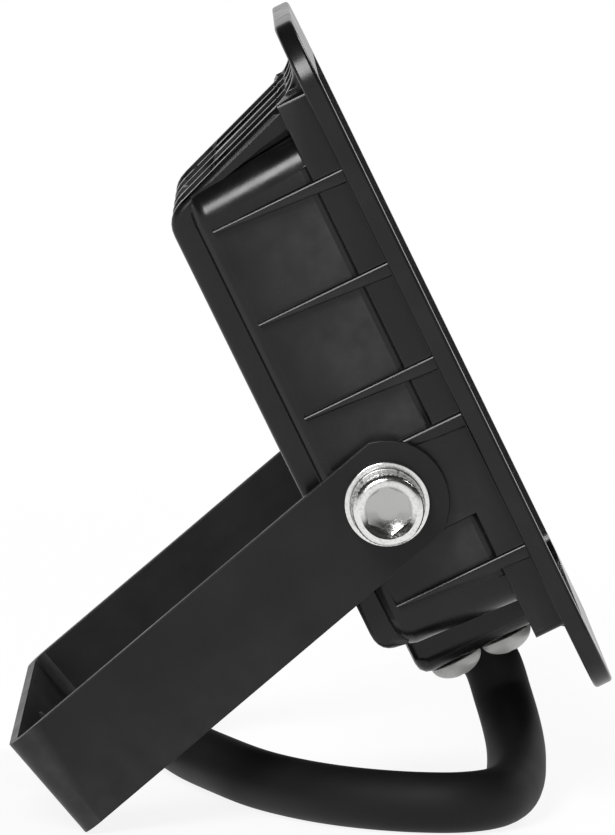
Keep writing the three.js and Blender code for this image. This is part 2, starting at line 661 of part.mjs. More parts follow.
function makeLedWire(side) {
  const { x, gap, y, bend, landX, landY, run, diameter } = ledWire;
  const start = x + side * gap / 2;
  const front = plateFront + seat + diameter / 2;
  const rise = [[start, y + bend / bendShare, front - bend], [start, y + bend, front - bend / lowShare]];
  const landing = [[side * landX, landY - run, front], [side * landX, landY, front]];
  return makeWire([[start, y, partsBack + seat], ...rise, ...landing], ledWire);
}

// Pivot hardware, drawn outwards along +Y
function stack(side) {
  const flat = armOutside + stackGap;
  const spring = flat + flatWasher.thickness + stackGap;
  const head = spring + springWasher.thickness + stackGap;
  return { flat: side * flat, spring: side * spring, head: side * head };
}
function makeScrew() {
  const r = screw.diameter / 2;
  const R = screw.headDiameter / 2;
  const h = screw.headHeight;
  const half = screw.hexWidth / 2;
  const end = -screw.length;
  const thread = [[0, end], [r - screw.edge, end], [r, end + screw.edge], [r, 0]];
  const head = [[R, 0], [R, h - screw.edge], [R - screw.edge, h], [0, h]];
  const floor = h - screw.hexDepth;
  const cornerRadius = half / Math.cos(halfTurn / hexSides);
  const deep = screw.hexDepth + overrun;
  const hex = new THREE.CylinderGeometry(cornerRadius, cornerRadius, deep, hexSides);
  const tip = floor - screw.coneDepth;
  const cone = turned([[0, tip], [screw.coneFloor / 2, tip], [half, floor + sink], [0, floor + sink]]);
  const lead = screw.mouth / 2 - half;
  const countersink = turned([[0, h - lead], [half, h - lead], [half + 2 * lead, h + lead], [0, h + lead]]);
  hex.rotateY(screw.hexTurn * deg).translate(0, floor + deep / 2, 0);
  return cut(toSolid(turned([...thread, ...head])), [hex, cone, countersink]);
}
function makeFlatWasher() {
  return toSolid(ring(flatWasher.outer / 2, flatWasher.inner / 2, 0, flatWasher.thickness));
}
function makeSpringWasher() {
  const { outer, inner, thickness, gap } = springWasher;
  const slot = box(0, outer, -overrun, thickness + overrun, -gap / 2, gap / 2);
  return cut(toSolid(ring(outer / 2, inner / 2, 0, thickness)), [slot]);
}
function makeToothWasher() {
  const { outer, inner, thickness, teeth, toothDepth, toothWidth } = toothWasher;
  const half = toothWidth / 2;
  const notch = box(outer / 2 - toothDepth, outer, -overrun, thickness + overrun, -half, half);
  const turnOf = (i) => (i / teeth) * 2 * halfTurn;
  const notches = Array.from({ length: teeth }, (_, i) => notch.clone().rotateY(turnOf(i)));
  return cut(toSolid(ring(outer / 2, inner / 2, 0, thickness)), notches);
}

// Bracket: X across, Y across the strip, Z from the base towards the lamp
function makeBracket() {
  const outer = armOutside;
  const base = -bracket.reach;
  const r = strip.bend;
  const end = strip.endRadius + overrun;
  const shape = new THREE.Shape();
  shape.moveTo(-outer, end);
  shape.lineTo(-outer, base + r);
  shape.absarc(r - outer, base + r, r, halfTurn, halfTurn + quarterTurn);
  shape.lineTo(outer - r, base);
  shape.absarc(outer - r, base + r, r, -quarterTurn, 0);
  shape.lineTo(outer, end);
  shape.lineTo(armInside, end);
  shape.lineTo(armInside, base + r);
  shape.absarc(outer - r, base + r, r - strip.thickness, 0, -quarterTurn, true);
  shape.lineTo(r - outer, base + strip.thickness);
  shape.absarc(r - outer, base + r, r - strip.thickness, -quarterTurn, -halfTurn, true);
  shape.lineTo(-armInside, end);
  const side = new THREE.Shape();
  const corner = Math.acos(stripTop / strip.endRadius);
  const lowCorner = Math.acos(-stripBottom / strip.endRadius);
  side.moveTo(base - overrun, stripBottom);
  side.lineTo(strip.endRadius * Math.sin(lowCorner), stripBottom);
  side.absarc(0, 0, strip.endRadius, lowCorner - quarterTurn, quarterTurn - corner);
  side.lineTo(base - overrun, stripTop);
  const bent = toSolid(extrudeY(shape, stripBottom - overrun, stripTop + overrun));
  const trimmed = bent.intersect(toSolid(extrudeX(side, -outer - overrun, outer + overrun)));
  const centre = (stripTop + stripBottom) / 2;
  const half = baseHole.slotLength / 2;
  const slotRadius = baseHole.slotWidth / 2;
  const slot = roundedRect(-half, centre - slotRadius, half, centre + slotRadius, slotRadius);
  const baseFront = base + strip.thickness + overrun;
  return cut(trimmed, [
    rodX(screw.diameter / 2 + threadRoom, -outer - overrun, outer + overrun),
    rodZ(baseHole.diameter / 2, base - overrun, baseFront).translate(0, centre, 0),
    ...spaced(2, baseHole.slotSpacing).map((x) => extrudeZ(slot, base - overrun, baseFront).translate(x, 0, 0)),
  ]);
}

// Scene graph
const lamp = new THREE.Group();
const pivotZ = bracket.reach * Math.sin(armAngle * deg) - stripBottom * Math.cos(armAngle * deg);
const backReach = bracket.reach * Math.cos(armAngle * deg) + stripTop * Math.sin(armAngle * deg);
const frontReach = face.front * Math.cos(headAngle * deg) - face.bottom * Math.sin(headAngle * deg);
const pivotY = (frontReach - backReach) / 2;
const headGroup = new THREE.Group();
const bracketGroup = new THREE.Group();
for (const [group, angle] of [[headGroup, headAngle], [bracketGroup, armAngle]]) {
  group.position.set(0, pivotY, pivotZ);
  group.rotation.x = quarterTurn - angle * deg;
  lamp.add(group);
}
function addTo(group, name, solid, material) {
  const mesh = new THREE.Mesh(toGeometry(solid), material);
  mesh.name = name;
  group.add(mesh);
  return mesh;
}

addTo(headGroup, 'housing', makeHousing(), finishes.castBlack);
addTo(headGroup, 'glass', makeGlass(), finishes.glassPane);
addTo(headGroup, 'glass_seal', makeSeal(), finishes.sealGrey);
addTo(headGroup, 'reflector', makeReflector(), finishes.reflectorMetal);
addTo(headGroup, 'thermal_pad', makePad(), finishes.padGrey);
addTo(headGroup, 'led_plate', makePlate(), finishes.aluminium);
addTo(headGroup, 'led_phosphor', makePhosphor(), finishes.phosphor);
plateScrewPlaces().forEach((place, i) => {
  addTo(headGroup, `led_plate_screw_${i + 1}`, makePlateScrew(place), finishes.zinc);
});
addTo(headGroup, 'driver_insulation_sheet', makeSheet(), finishes.insulator);
addTo(headGroup, 'driver_board', makeDriverBoard(), finishes.boardGreen);
driverCorners().forEach((place, i) => {
  addTo(headGroup, `driver_board_screw_${i + 1}`, makeDriverScrew(place), finishes.zinc);
});
addTo(headGroup, 'driver_transformer', makeTransformer(), finishes.coilTape);
addTo(headGroup, 'driver_capacitor_mains', makeCapacitor(capacitor), finishes.canBlack);
addTo(headGroup, 'driver_capacitor_output', makeCapacitor(smallCapacitor), finishes.canBlack);
addTo(headGroup, 'driver_choke', makeChoke(), finishes.copper);
addTo(headGroup, 'driver_rectifier', makeRectifier(), finishes.blackPlastic);
addTo(headGroup, 'terminal_block', makeTerminal(), finishes.greyPlastic);
terminalWays().forEach((way, i) => {
  addTo(headGroup, `terminal_screw_${i + 1}`, makeTerminalScrew(way), finishes.zinc);
});
addTo(headGroup, 'earth_screw', makeEarthScrew(), finishes.zinc);
addTo(headGroup, 'earth_ring_tag', makeEarthTag(), finishes.zinc);
addTo(headGroup, 'cable_bush', makeBush(), finishes.rubber);
addTo(headGroup, 'clamp_plate', makeClampPlate(), finishes.zinc);
clampPlaces().forEach((place, i) => {
  addTo(headGroup, `clamp_screw_${i + 1}`, makeClampScrew(place), finishes.zinc);
});
addTo(headGroup, 'cable_sheath_end', makeSheathEnd(), finishes.rubber);
addTo(headGroup, 'mains_wire_live', makeMainsWire(1, terminalWays()[1]), finishes.coreBrown);
addTo(headGroup, 'mains_wire_neutral', makeMainsWire(0, terminalWays()[0]), finishes.coreBlue);
addTo(headGroup, 'mains_wire_earth', makeEarthWire(), finishes.coreGreen);
addTo(headGroup, 'led_wire_plus', makeLedWire(1), finishes.wireRed);
addTo(headGroup, 'led_wire_minus', makeLedWire(-1), finishes.wireBlack);

for (const [side, name] of [[-1, 'near'], [1, 'far']]) {
  const places = stack(side);
  const outward = -side * quarterTurn;
  const pieces = [
    ['pivot_screw_', makeScrew(), places.head, finishes.chrome],
    ['spring_washer_', makeSpringWasher(), places.spring, finishes.springSteel],
    ['flat_washer_', makeFlatWasher(), places.flat, finishes.chrome],
    ['tooth_washer_', makeToothWasher(), side * (bossOutside + seat), finishes.springSteel],
  ];
  for (const [prefix, solid, x, material] of pieces) {
    const mesh = addTo(headGroup, prefix + name, solid, material);
    mesh.position.x = x;
    mesh.rotation.z = outward;
  }
}

addTo(bracketGroup, 'bracket', makeBracket(), finishes.stripBlack);

// The free lead: down from the cable box to the floor, round past the near arm and out under the far one
const cableRoute = [
  [-0.4, -27.2, 18.3], [-1.6, -28.6, 14], [-5, -29.6, 10.6], [-10, -30.1, 8], [-16, -30, 6.1],
  [-23, -29.4, 4.9], [-30, -28, 4.4], [-35.6, -25.2, 4.35], [-38.2, -20.8, 4.35], [-38, -15.3, 4.35],
  [-36, -9.7, 4.35], [-32.4, -4.1, 4.35], [-26.8, 1.5, 4.35], [-18.2, 7.3, 4.35], [-5.4, 12.9, 4.35],
  [7.6, 17.6, 4.35], [20, 20.4, 4.35], [30, 20.5, 4.35], [39.2, 19.1, 4.35], [50, 18.2, 4.35],
  [64, 18.6, 4.35], [80, 19.6, 4.35], [98, 20, 4.35],
];
lamp.updateMatrixWorld(true);
const exitPoint = headGroup.localToWorld(new THREE.Vector3(0, cableBox.bottom - cable.endGap, entry.z));
const exitAim = new THREE.Vector3(0, -1, 0).transformDirection(headGroup.matrixWorld);
const exitEnd = exitPoint.clone().addScaledVector(exitAim, overrun);
const cablePoints = [exitPoint.toArray(), exitEnd.toArray(), ...cableRoute];
const cableTube = tube(cablePoints, cable.diameter / 2, cable.sides, cable.steps);
addTo(lamp, 'cable', toSolid(cableTube), finishes.rubber);

// The bare cores at the far end, each with a ferrule
const [tailX, tailY, tailZ] = cableRoute.at(-1);
const restZ = ferrule.collar / 2 + seat;
const coreAngles = [210, 90, -30];
function coreEnd(i) {
  return [tailX + core.bare, tailY + (i - 1) * core.fan, restZ];
}
function makeCore(i) {
  const angle = coreAngles[i] * deg;
  const x = tailX + cable.endGap;
  const y = tailY + core.ring * Math.cos(angle);
  const z = tailZ + core.ring * Math.sin(angle);
  const [endX, endY, endZ] = coreEnd(i);
  const straight = core.diameter;
  const points = [[x, y, z], [x + straight, y, z], [endX - straight * 2, endY, endZ], [endX, endY, endZ]];
  return toSolid(tube(points, core.diameter / 2, core.sides, core.steps));
}
function makeFerrule(i) {
  const [x, y, z] = coreEnd(i);
  const collar = ferrule.collar / 2;
  const pin = ferrule.diameter / 2;
  const whole = ferrule.collarLength + ferrule.length;
  const step = ferrule.collarLength;
  const profile = [[0, 0], [collar, 0], [collar, step], [pin, step], [pin, whole], [0, whole]];
  const sleeve = turned(profile, smallSegments).rotateZ(-quarterTurn);
  return toSolid(sleeve.translate(x + cable.endGap, y, z));
}
const coreList = [
  ['live', finishes.coreBrown],
  ['earth', finishes.coreGreen],
  ['neutral', finishes.coreBlue],
];
coreList.forEach(([name, material], i) => {
  addTo(lamp, `core_${name}`, makeCore(i), material);
  addTo(lamp, `ferrule_${name}`, makeFerrule(i), finishes.ferruleBlue);
});

export default lamp;
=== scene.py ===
# %% [markdown]
# # LED flood light: the looks
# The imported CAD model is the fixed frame. This notebook loads it, dresses its visible pieces in
# finer meshes and gives every surface a material made of nodes. Everything is in metres, in the
# CAD's own frame: X is the tilt axis, the glass faces -Y and up, and Z is up. Sizes that follow the
# CAD are written in millimetres and multiplied by MM.

# %% Load the frame
import json
import math

import bmesh
import bpy
from mathutils import Matrix, Vector


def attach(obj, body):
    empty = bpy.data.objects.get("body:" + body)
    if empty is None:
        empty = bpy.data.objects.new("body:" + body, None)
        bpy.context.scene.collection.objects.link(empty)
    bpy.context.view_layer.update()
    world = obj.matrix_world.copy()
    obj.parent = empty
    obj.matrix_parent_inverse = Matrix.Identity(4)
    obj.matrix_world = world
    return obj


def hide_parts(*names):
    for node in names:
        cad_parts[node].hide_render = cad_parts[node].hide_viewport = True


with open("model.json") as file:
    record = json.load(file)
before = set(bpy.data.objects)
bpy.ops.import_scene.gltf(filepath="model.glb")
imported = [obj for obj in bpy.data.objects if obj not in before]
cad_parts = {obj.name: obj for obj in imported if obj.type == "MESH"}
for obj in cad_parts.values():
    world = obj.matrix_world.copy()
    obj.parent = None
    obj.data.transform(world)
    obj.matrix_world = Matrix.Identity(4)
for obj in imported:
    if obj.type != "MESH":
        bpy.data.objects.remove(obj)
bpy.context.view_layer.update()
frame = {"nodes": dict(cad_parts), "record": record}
nodes = frame["nodes"]
scene = bpy.context.scene
MM = 0.001


def in_mm(numbers):
    """Metres as rounded millimetres, for printing."""
    return [round(v / MM, 1) for v in numbers]


# %% [markdown]
# ## Camera
# The photograph is taken from the side, along the tilt axis, from 0.87 m away and a little above.
# The camera's place and turn come from a fit of the lamp's straight edges. The lens is long, so the
# far arm is only a little smaller than the near one.

# %% Camera
CAMERA_AT = Vector((-872.6, 9.6, 149.3)) * MM
CAMERA_LOOK = Vector((0.99416, -0.01072, -0.10738))
CAMERA_RIGHT = Vector((-0.01079, -0.99994, 0))
SENSOR_WIDTH = 36
LENS = 257.5
SEEN_FROM, SEEN_TO = 0.05, 20


def in_scene(name, data):
    """A new object that shows the data, at the origin."""
    made = bpy.data.objects.new(name, data)
    scene.collection.objects.link(made)
    return made


def add_camera():
    data = bpy.data.cameras.new("photo_camera")
    data.sensor_width = SENSOR_WIDTH
    data.lens = LENS
    data.clip_start = SEEN_FROM
    data.clip_end = SEEN_TO
    camera = in_scene("photo_camera", data)
    back = -CAMERA_LOOK.normalized()
    right = CAMERA_RIGHT.normalized()
    turn = Matrix((right, back.cross(right), back)).transposed().to_4x4()
    camera.matrix_world = Matrix.Translation(CAMERA_AT) @ turn
    scene.camera = camera
    return camera


camera = add_camera()
print("camera at", tuple(round(v, 3) for v in camera.location), "lens", camera.data.lens)

# %% [markdown]
# ## The head's own frame
# The head leans 26 degrees from the floor. Its own millimetres start at the pivot and run across
# it, up its glass and out through its glass. Helpers turn them into points of the scene and back,
# so that a size on the head is read off the CAD without any trigonometry.

# %% Head frame
HEAD_ANGLE = math.radians(26)
PIVOT = Vector((0, -10.539, 47.255)) * MM
SIDE = Vector((1, 0, 0))
HEAD = Matrix.Translation(PIVOT) @ Matrix.Rotation(math.pi / 2 - HEAD_ANGLE, 4, "X")
HEAD_BACK = HEAD.inverted()
CABLE_EXIT = (0, -28.7, 2.05)


def head_point(across, up, out):
    return HEAD @ (Vector((across, up, out)) * MM)


def head_direction(across, up, out):
    return HEAD.to_3x3() @ Vector((across, up, out))


def in_head(point):
    """A point of the scene in the head's own millimetres."""
    return HEAD_BACK @ point / MM


print("cable leaves the box at", [round(v, 4) for v in head_point(*CABLE_EXIT)])

# %% [markdown]
# ## The free cable
# The cable is made first, because it decides how much floor the lamp takes. It leaves the cable
# box, bends down to the floor, passes under the near arm and runs out under the far one. A curve
# object with a bevel would do, but its twist is hard to steer, so a Catmull-Rom curve through the
# route's points carries a round section that turns with the curve as little as it can.

# %% Cable
CABLE_RADIUS = 4.3 * MM
CABLE_AIM = (0, -30.7, 2.05)
CABLE_ROUTE = [
    (-0.4, -27.2, 18.3), (-1.6, -28.6, 14), (-5, -29.6, 10.6), (-10, -30.1, 8), (-16, -30, 6.1),
    (-23, -29.4, 4.9), (-30, -28, 4.4), (-35.6, -25.2, 4.35), (-38.2, -20.8, 4.35), (-38, -15.3, 4.35),
    (-36, -9.7, 4.35), (-32.4, -4.1, 4.35), (-26.8, 1.5, 4.35), (-18.2, 7.3, 4.35), (-5.4, 12.9, 4.35),
    (7.6, 17.6, 4.35), (20, 20.4, 4.35), (30, 20.5, 4.35), (39.2, 19.1, 4.35), (50, 18.2, 4.35),
    (64, 18.6, 4.35), (80, 19.6, 4.35), (98, 20, 4.35),
]


def smooth_path(points, per_span=8):
    """Centripetal Catmull-Rom curve through the points."""
    ends = [2 * points[0] - points[1]] + points + [2 * points[-1] - points[-2]]
    out = []
    for a, b, c, d in zip(ends, ends[1:], ends[2:], ends[3:]):
        t1 = math.sqrt((b - a).length)
        t2 = t1 + math.sqrt((c - b).length)
        t3 = t2 + math.sqrt((d - c).length)
        for step in range(per_span):
            t = t1 + (t2 - t1) * step / per_span
            ab = a.lerp(b, t / t1)
            bc = b.lerp(c, (t - t1) / (t2 - t1))
            cd = c.lerp(d, (t - t2) / (t3 - t2))
            low = ab.lerp(bc, t / t2)
            high = bc.lerp(cd, (t - t1) / (t3 - t1))
            out.append(low.lerp(high, (t - t1) / (t2 - t1)))
    out.append(points[-1])
    return out


def mesh_data(name, mesh):
    """New mesh data from a bmesh, which is freed."""
    data = bpy.data.meshes.new(name)
    mesh.to_mesh(data)
    mesh.free()
    return data


def sweep(name, path, radius, sides=40, edge=0.4 * MM):
    """A round tube along the path, with closed, slightly rounded ends and UVs in metres."""
    mesh = bmesh.new()
    uv = mesh.loops.layers.uv.new("length")
    turns = [2 * math.pi * k / sides for k in range(sides)]
    heading = (path[1] - path[0]).normalized()
    side = heading.orthogonal().normalized()
    rings, lengths, run = [], [], 0.0
    for i, at in enumerate(path):
        before = path[max(i - 1, 0)]
        new_heading = (path[min(i + 1, len(path) - 1)] - before).normalized()
        side = heading.rotation_difference(new_heading) @ side
        heading = new_heading
        side = (side - heading * side.dot(heading)).normalized()
        other = heading.cross(side)
        reach = radius - (edge if i in (0, len(path) - 1) else 0)
        rings.append([mesh.verts.new(at + (side * math.cos(a) + other * math.sin(a)) * reach) for a in turns])
        run += (at - before).length
        lengths.append(run)
    for i, (low, high) in enumerate(zip(rings, rings[1:])):
        for k in range(sides):
            n = (k + 1) % sides
            face = mesh.faces.new((low[k], low[n], high[n], high[k]))
            face.smooth = True
            corners = ((i, k), (i, k + 1), (i + 1, k + 1), (i + 1, k))
            for loop, (ring, around) in zip(face.loops, corners):
                loop[uv].uv = (lengths[ring], around * 2 * math.pi * radius / sides)
    mesh.faces.new(rings[0][::-1])
    mesh.faces.new(rings[-1])
    bmesh.ops.recalc_face_normals(mesh, faces=mesh.faces)
    return in_scene(name, mesh_data(name, mesh))


exit_at = head_point(*CABLE_EXIT)
cable_path = smooth_path([exit_at, head_point(*CABLE_AIM)] + [Vector(p) * MM for p in CABLE_ROUTE])
cable = sweep("cable_sheath", cable_path, CABLE_RADIUS)

# %% [markdown]
# ## Cores at the far end
# The sheath is stripped at its far end, and three insulated cores fan out of it onto the floor.
# They are cords too, only thinner, so the same sweep makes them from four points each. The first
# point sits in the sheath's end and the last one carries a ferrule.

# %% Cores
CORE_NAMES = ("live", "earth", "neutral")
CORE_RADIUS = 1.2 * MM
CORE_TURNS = (210, 90, -30)
CORE_OFF_CENTRE = 1.6
CORE_START = 0.3
CORE_REACH = 24
CORE_FAN = 4.4
CORE_LIES_AT = 1.8
STRAIGHT_OUT, STRAIGHT_IN = 2.4, 4.8


def core_path(index):
    """Straight out of the sheath's end, then down to the floor beside the other cores."""
    tail_x, tail_y, tail_z = CABLE_ROUTE[-1]
    angle = math.radians(CORE_TURNS[index])
    off_y, off_z = CORE_OFF_CENTRE * math.cos(angle), CORE_OFF_CENTRE * math.sin(angle)
    start = Vector((tail_x + CORE_START, tail_y + off_y, tail_z + off_z))
    end = Vector((tail_x + CORE_REACH, tail_y + (index - 1) * CORE_FAN, CORE_LIES_AT))
    points = [start, start + STRAIGHT_OUT * SIDE, end - STRAIGHT_IN * SIDE, end]
    return smooth_path([p * MM for p in points])


core_paths = [core_path(index) for index in range(len(CORE_NAMES))]
core_ends = [path[-1] for path in core_paths]
cores = [sweep("core_" + name + "_wire", path, CORE_RADIUS, sides=24, edge=0.1 * MM)
         for name, path in zip(CORE_NAMES, core_paths)]
print("core ends in mm:", [in_mm(end) for end in core_ends])

# %% [markdown]
# ## Writing trees of nodes
# A tree can be drawn in the node editor or written, as here, where its sizes can have names. Four
# helpers keep it short. They make a node, feed its sockets with values or with other nodes'
# outputs, do sums, and make a group with named sockets, for shaders and for geometry alike.

# %% Helpers for nodes
SOCKET_KINDS = {float: "Float", int: "Int"}


def feed(tree, node, inputs):
    """Fill the node's inputs, by name or number: an output is linked, any other value is set."""
    for key, value in dict(inputs).items():
        if isinstance(value, bpy.types.NodeSocket):
            tree.links.new(value, node.inputs[key])
        else:
            node.inputs[key].default_value = value


def new_node(tree, kind, inputs=(), **properties):
    node = tree.nodes.new(kind)
    for key, value in properties.items():
        setattr(node, key, value)
    feed(tree, node, inputs)
    return node


def maths(tree, operation, *values, **properties):
    """The output of one Math node."""
    made = new_node(tree, "ShaderNodeMath", enumerate(values), operation=operation, **properties)
    return made.outputs[0]


def node_group(name, kind, inputs, outputs):
    """A group, the sockets that hold its inputs inside it, and the node that takes its results.

    A socket is named with its default value, or with its kind where it has none."""
    group = bpy.data.node_groups.new(name, kind)
    for in_out, sockets in (("INPUT", inputs), ("OUTPUT", outputs)):
        for label, value in sockets.items():
            bare = isinstance(value, str)
            socket_type = "NodeSocket" + (value if bare else SOCKET_KINDS[type(value)])
            made = group.interface.new_socket(name=label, socket_type=socket_type, in_out=in_out)
            if not bare:
                made.default_value = value
    return group, new_node(group, "NodeGroupInput").outputs, new_node(group, "NodeGroupOutput")


# %% [markdown]
# ## Shader groups
# Three effects are shared by several materials: a fine grain that breaks up gloss and relief, worn
# edges found from how sharply the surface turns, and the marks that a lathe leaves, with painted
# shade inside a screw's socket. Each is a node group with named sockets, so that a material only
# sets its numbers.

# %% Shader groups
def grain_group():
    """Fine relief, and a broad noise that varies the gloss and mixes two colours."""
    group, given, leave = node_group(
        "fine_grain", "ShaderNodeTree",
        {"Scale": 900.0, "Broad scale": 60.0, "Relief": 0.1, "Distance": 0.1 * MM,
         "Rough low": 0.35, "Rough high": 0.5},
        {"Roughness": "Float", "Normal": "Vector", "Broad": "Float"})
    place = new_node(group, "ShaderNodeTexCoord").outputs["Object"]
    fine = new_node(group, "ShaderNodeTexNoise", {"Vector": place, "Scale": given["Scale"], "Detail": 3})
    broad = new_node(group, "ShaderNodeTexNoise",
                     {"Vector": place, "Scale": given["Broad scale"], "Detail": 4}).outputs["Fac"]
    gloss = new_node(group, "ShaderNodeMapRange", {
        "Value": broad, "From Min": 0.3, "From Max": 0.7,
        "To Min": given["Rough low"], "To Max": given["Rough high"]})
    bump = new_node(group, "ShaderNodeBump", {
        "Height": fine.outputs["Fac"], "Strength": given["Relief"], "Distance": given["Distance"]})
    feed(group, leave, {"Roughness": gloss.outputs["Result"], "Normal": bump.outputs["Normal"], "Broad": broad})
    return group


def edge_group():
    """Where the surface turns sharply outwards, broken up by noise as worn paint is."""
    group, given, leave = node_group(
        "worn_edges", "ShaderNodeTree", {"Low": 0.52, "High": 0.62, "Amount": 0.5}, {"Mask": "Float"})
    place = new_node(group, "ShaderNodeTexCoord").outputs["Object"]
    chips = new_node(group, "ShaderNodeTexNoise", {"Vector": place, "Scale": 350, "Detail": 5})
    turning = new_node(group, "ShaderNodeNewGeometry").outputs["Pointiness"]
    edges = new_node(group, "ShaderNodeMapRange", {
        "Value": turning, "From Min": given["Low"], "From Max": given["High"]})
    broken = maths(group, "MULTIPLY", edges.outputs["Result"], chips.outputs["Fac"])
    feed(group, leave, {"Mask": maths(group, "MULTIPLY", broken, given["Amount"], use_clamp=True)})
    return group


def turned_group():
    """Fine rings round the tilt axis, blotches in the plating, and a mask of the socket, where shade is
    painted.
    """
    group, given, leave = node_group(
        "turned_marks", "ShaderNodeTree",
        {"Rings per metre": 9000.0, "Relief": 0.2, "Rough low": 0.1, "Rough high": 0.3},
        {"Roughness": "Float", "Normal": "Vector", "Blotches": "Float", "Recess": "Float"})
    place = new_node(group, "ShaderNodeTexCoord").outputs["Object"]
    centred = new_node(group, "ShaderNodeMapping", {"Vector": place, "Location": -PIVOT}).outputs["Vector"]
    flat = new_node(group, "ShaderNodeVectorMath", {0: centred, 1: (0, 1, 1)}, operation="MULTIPLY")
    radius = new_node(group, "ShaderNodeVectorMath", {0: flat.outputs["Vector"]},
                      operation="LENGTH").outputs["Value"]
    rings = new_node(group, "ShaderNodeTexNoise", {
        "W": maths(group, "MULTIPLY", radius, given["Rings per metre"]), "Scale": 1, "Detail": 2,
    }, noise_dimensions="1D")
    blotches = new_node(group, "ShaderNodeTexNoise",
                        {"Vector": place, "Scale": 2600, "Detail": 4}).outputs["Fac"]
    gloss = new_node(group, "ShaderNodeMapRange", {
        "Value": blotches, "From Min": 0.35, "From Max": 0.65,
        "To Min": given["Rough low"], "To Max": given["Rough high"]})
    bump = new_node(group, "ShaderNodeBump", {
        "Height": rings.outputs["Fac"], "Strength": given["Relief"], "Distance": 0.03 * MM})
    # Painted shade: this mask is 1 inside the socket, where the colour is darkened as if shade fell there.
    recess = new_node(group, "ShaderNodeMapRange", {
        "Value": radius, "From Min": 3.2 * MM, "From Max": 3.5 * MM, "To Min": 1.0, "To Max": 0.0})
    feed(group, leave, {"Roughness": gloss.outputs["Result"], "Normal": bump.outputs["Normal"],
                        "Blotches": blotches, "Recess": recess.outputs["Result"]})
    return group


GRAIN = grain_group()
EDGES = edge_group()
TURNED = turned_group()
print("shader groups:", GRAIN.name, EDGES.name, TURNED.name)

# %% [markdown]
# ## Materials
# The lamp is enamelled black over a die casting, its bracket is painted, its screws are chromed and
# its cable is rubber. Colours are linear values. Each material mixes two close colours by a broad
# noise, so that no surface is one flat colour, and the paints let a little lighter primer through
# at sharp edges.

# %% Two kinds of finish
PRIMER = (0.12, 0.12, 0.12)
# Painted shade: the share of the chrome's colour that is kept inside the socket.
SOCKET_PAINTED_SHADE = 0.68


def mixed(tree, share, first, second):
    """A colour between two, each a plain colour or an output."""
    first, second = ((*color, 1) if isinstance(color, tuple) else color for color in (first, second))
    return new_node(tree, "ShaderNodeMix", {0: share, 6: first, 7: second}, data_type="RGBA").outputs[2]


def new_material(name):
    made = bpy.data.materials.new(name)
    made.use_nodes = True
    return made, made.node_tree, made.node_tree.nodes["Principled BSDF"]


def material(name, dark, light, rough=(0.35, 0.5), relief=0.1, distance=0.1, scale=900, broad=60, wear=0,
             **fixed):
    """A grained finish; distance is in millimetres, and fixed values go to the shader's own inputs."""
    made, tree, shader = new_material(name)
    grain = new_node(tree, "ShaderNodeGroup", node_tree=GRAIN)
    feed(tree, grain, {"Scale": scale, "Broad scale": broad, "Relief": relief, "Distance": distance * MM,
                       "Rough low": rough[0], "Rough high": rough[1]})
    color = mixed(tree, grain.outputs["Broad"], dark, light)
    if wear:
        edges = new_node(tree, "ShaderNodeGroup", {"Amount": wear}, node_tree=EDGES)
        color = mixed(tree, edges.outputs["Mask"], color, PRIMER)
    feed(tree, shader, {key.replace("_", " "): value for key, value in fixed.items()})
    feed(tree, shader, {"Base Color": color, "Roughness": grain.outputs["Roughness"],
                        "Normal": grain.outputs["Normal"]})
    return made


def turned_metal(name, dark, light, rough, relief=0.2, rings=9000):
    """Bright metal with lathe rings and darker blotches in its plating, and painted shade inside its socket."""
    made, tree, shader = new_material(name)
    marks = new_node(tree, "ShaderNodeGroup", node_tree=TURNED)
    feed(tree, marks, {"Rings per metre": rings, "Relief": relief,
                       "Rough low": rough[0], "Rough high": rough[1]})
    share = new_node(tree, "ShaderNodeMapRange", {
        "Value": marks.outputs["Blotches"], "From Min": 0.36, "From Max": 0.52})
    plated = mixed(tree, share.outputs["Result"], dark, light)
    # Painted shade: a darker colour inside the socket stands for the shade that falls there.
    painted_shade = tuple(SOCKET_PAINTED_SHADE * value for value in dark)
    feed(tree, shader, {"Base Color": mixed(tree, marks.outputs["Recess"], plated, painted_shade), "Metallic": 1.0,
                        "Roughness": marks.outputs["Roughness"], "Normal": marks.outputs["Normal"]})
    return made


print("finishes that are worn, turned or plain, over primer", PRIMER)

# %% [markdown]
# ## One material for each slot of the record
# The outside gets measured tones: the enamel and the paint are almost black, so that their look
# comes from what they reflect. What sits inside, behind the glass or under the cover, is made of
# the same grained finish with plain colours of its kind.

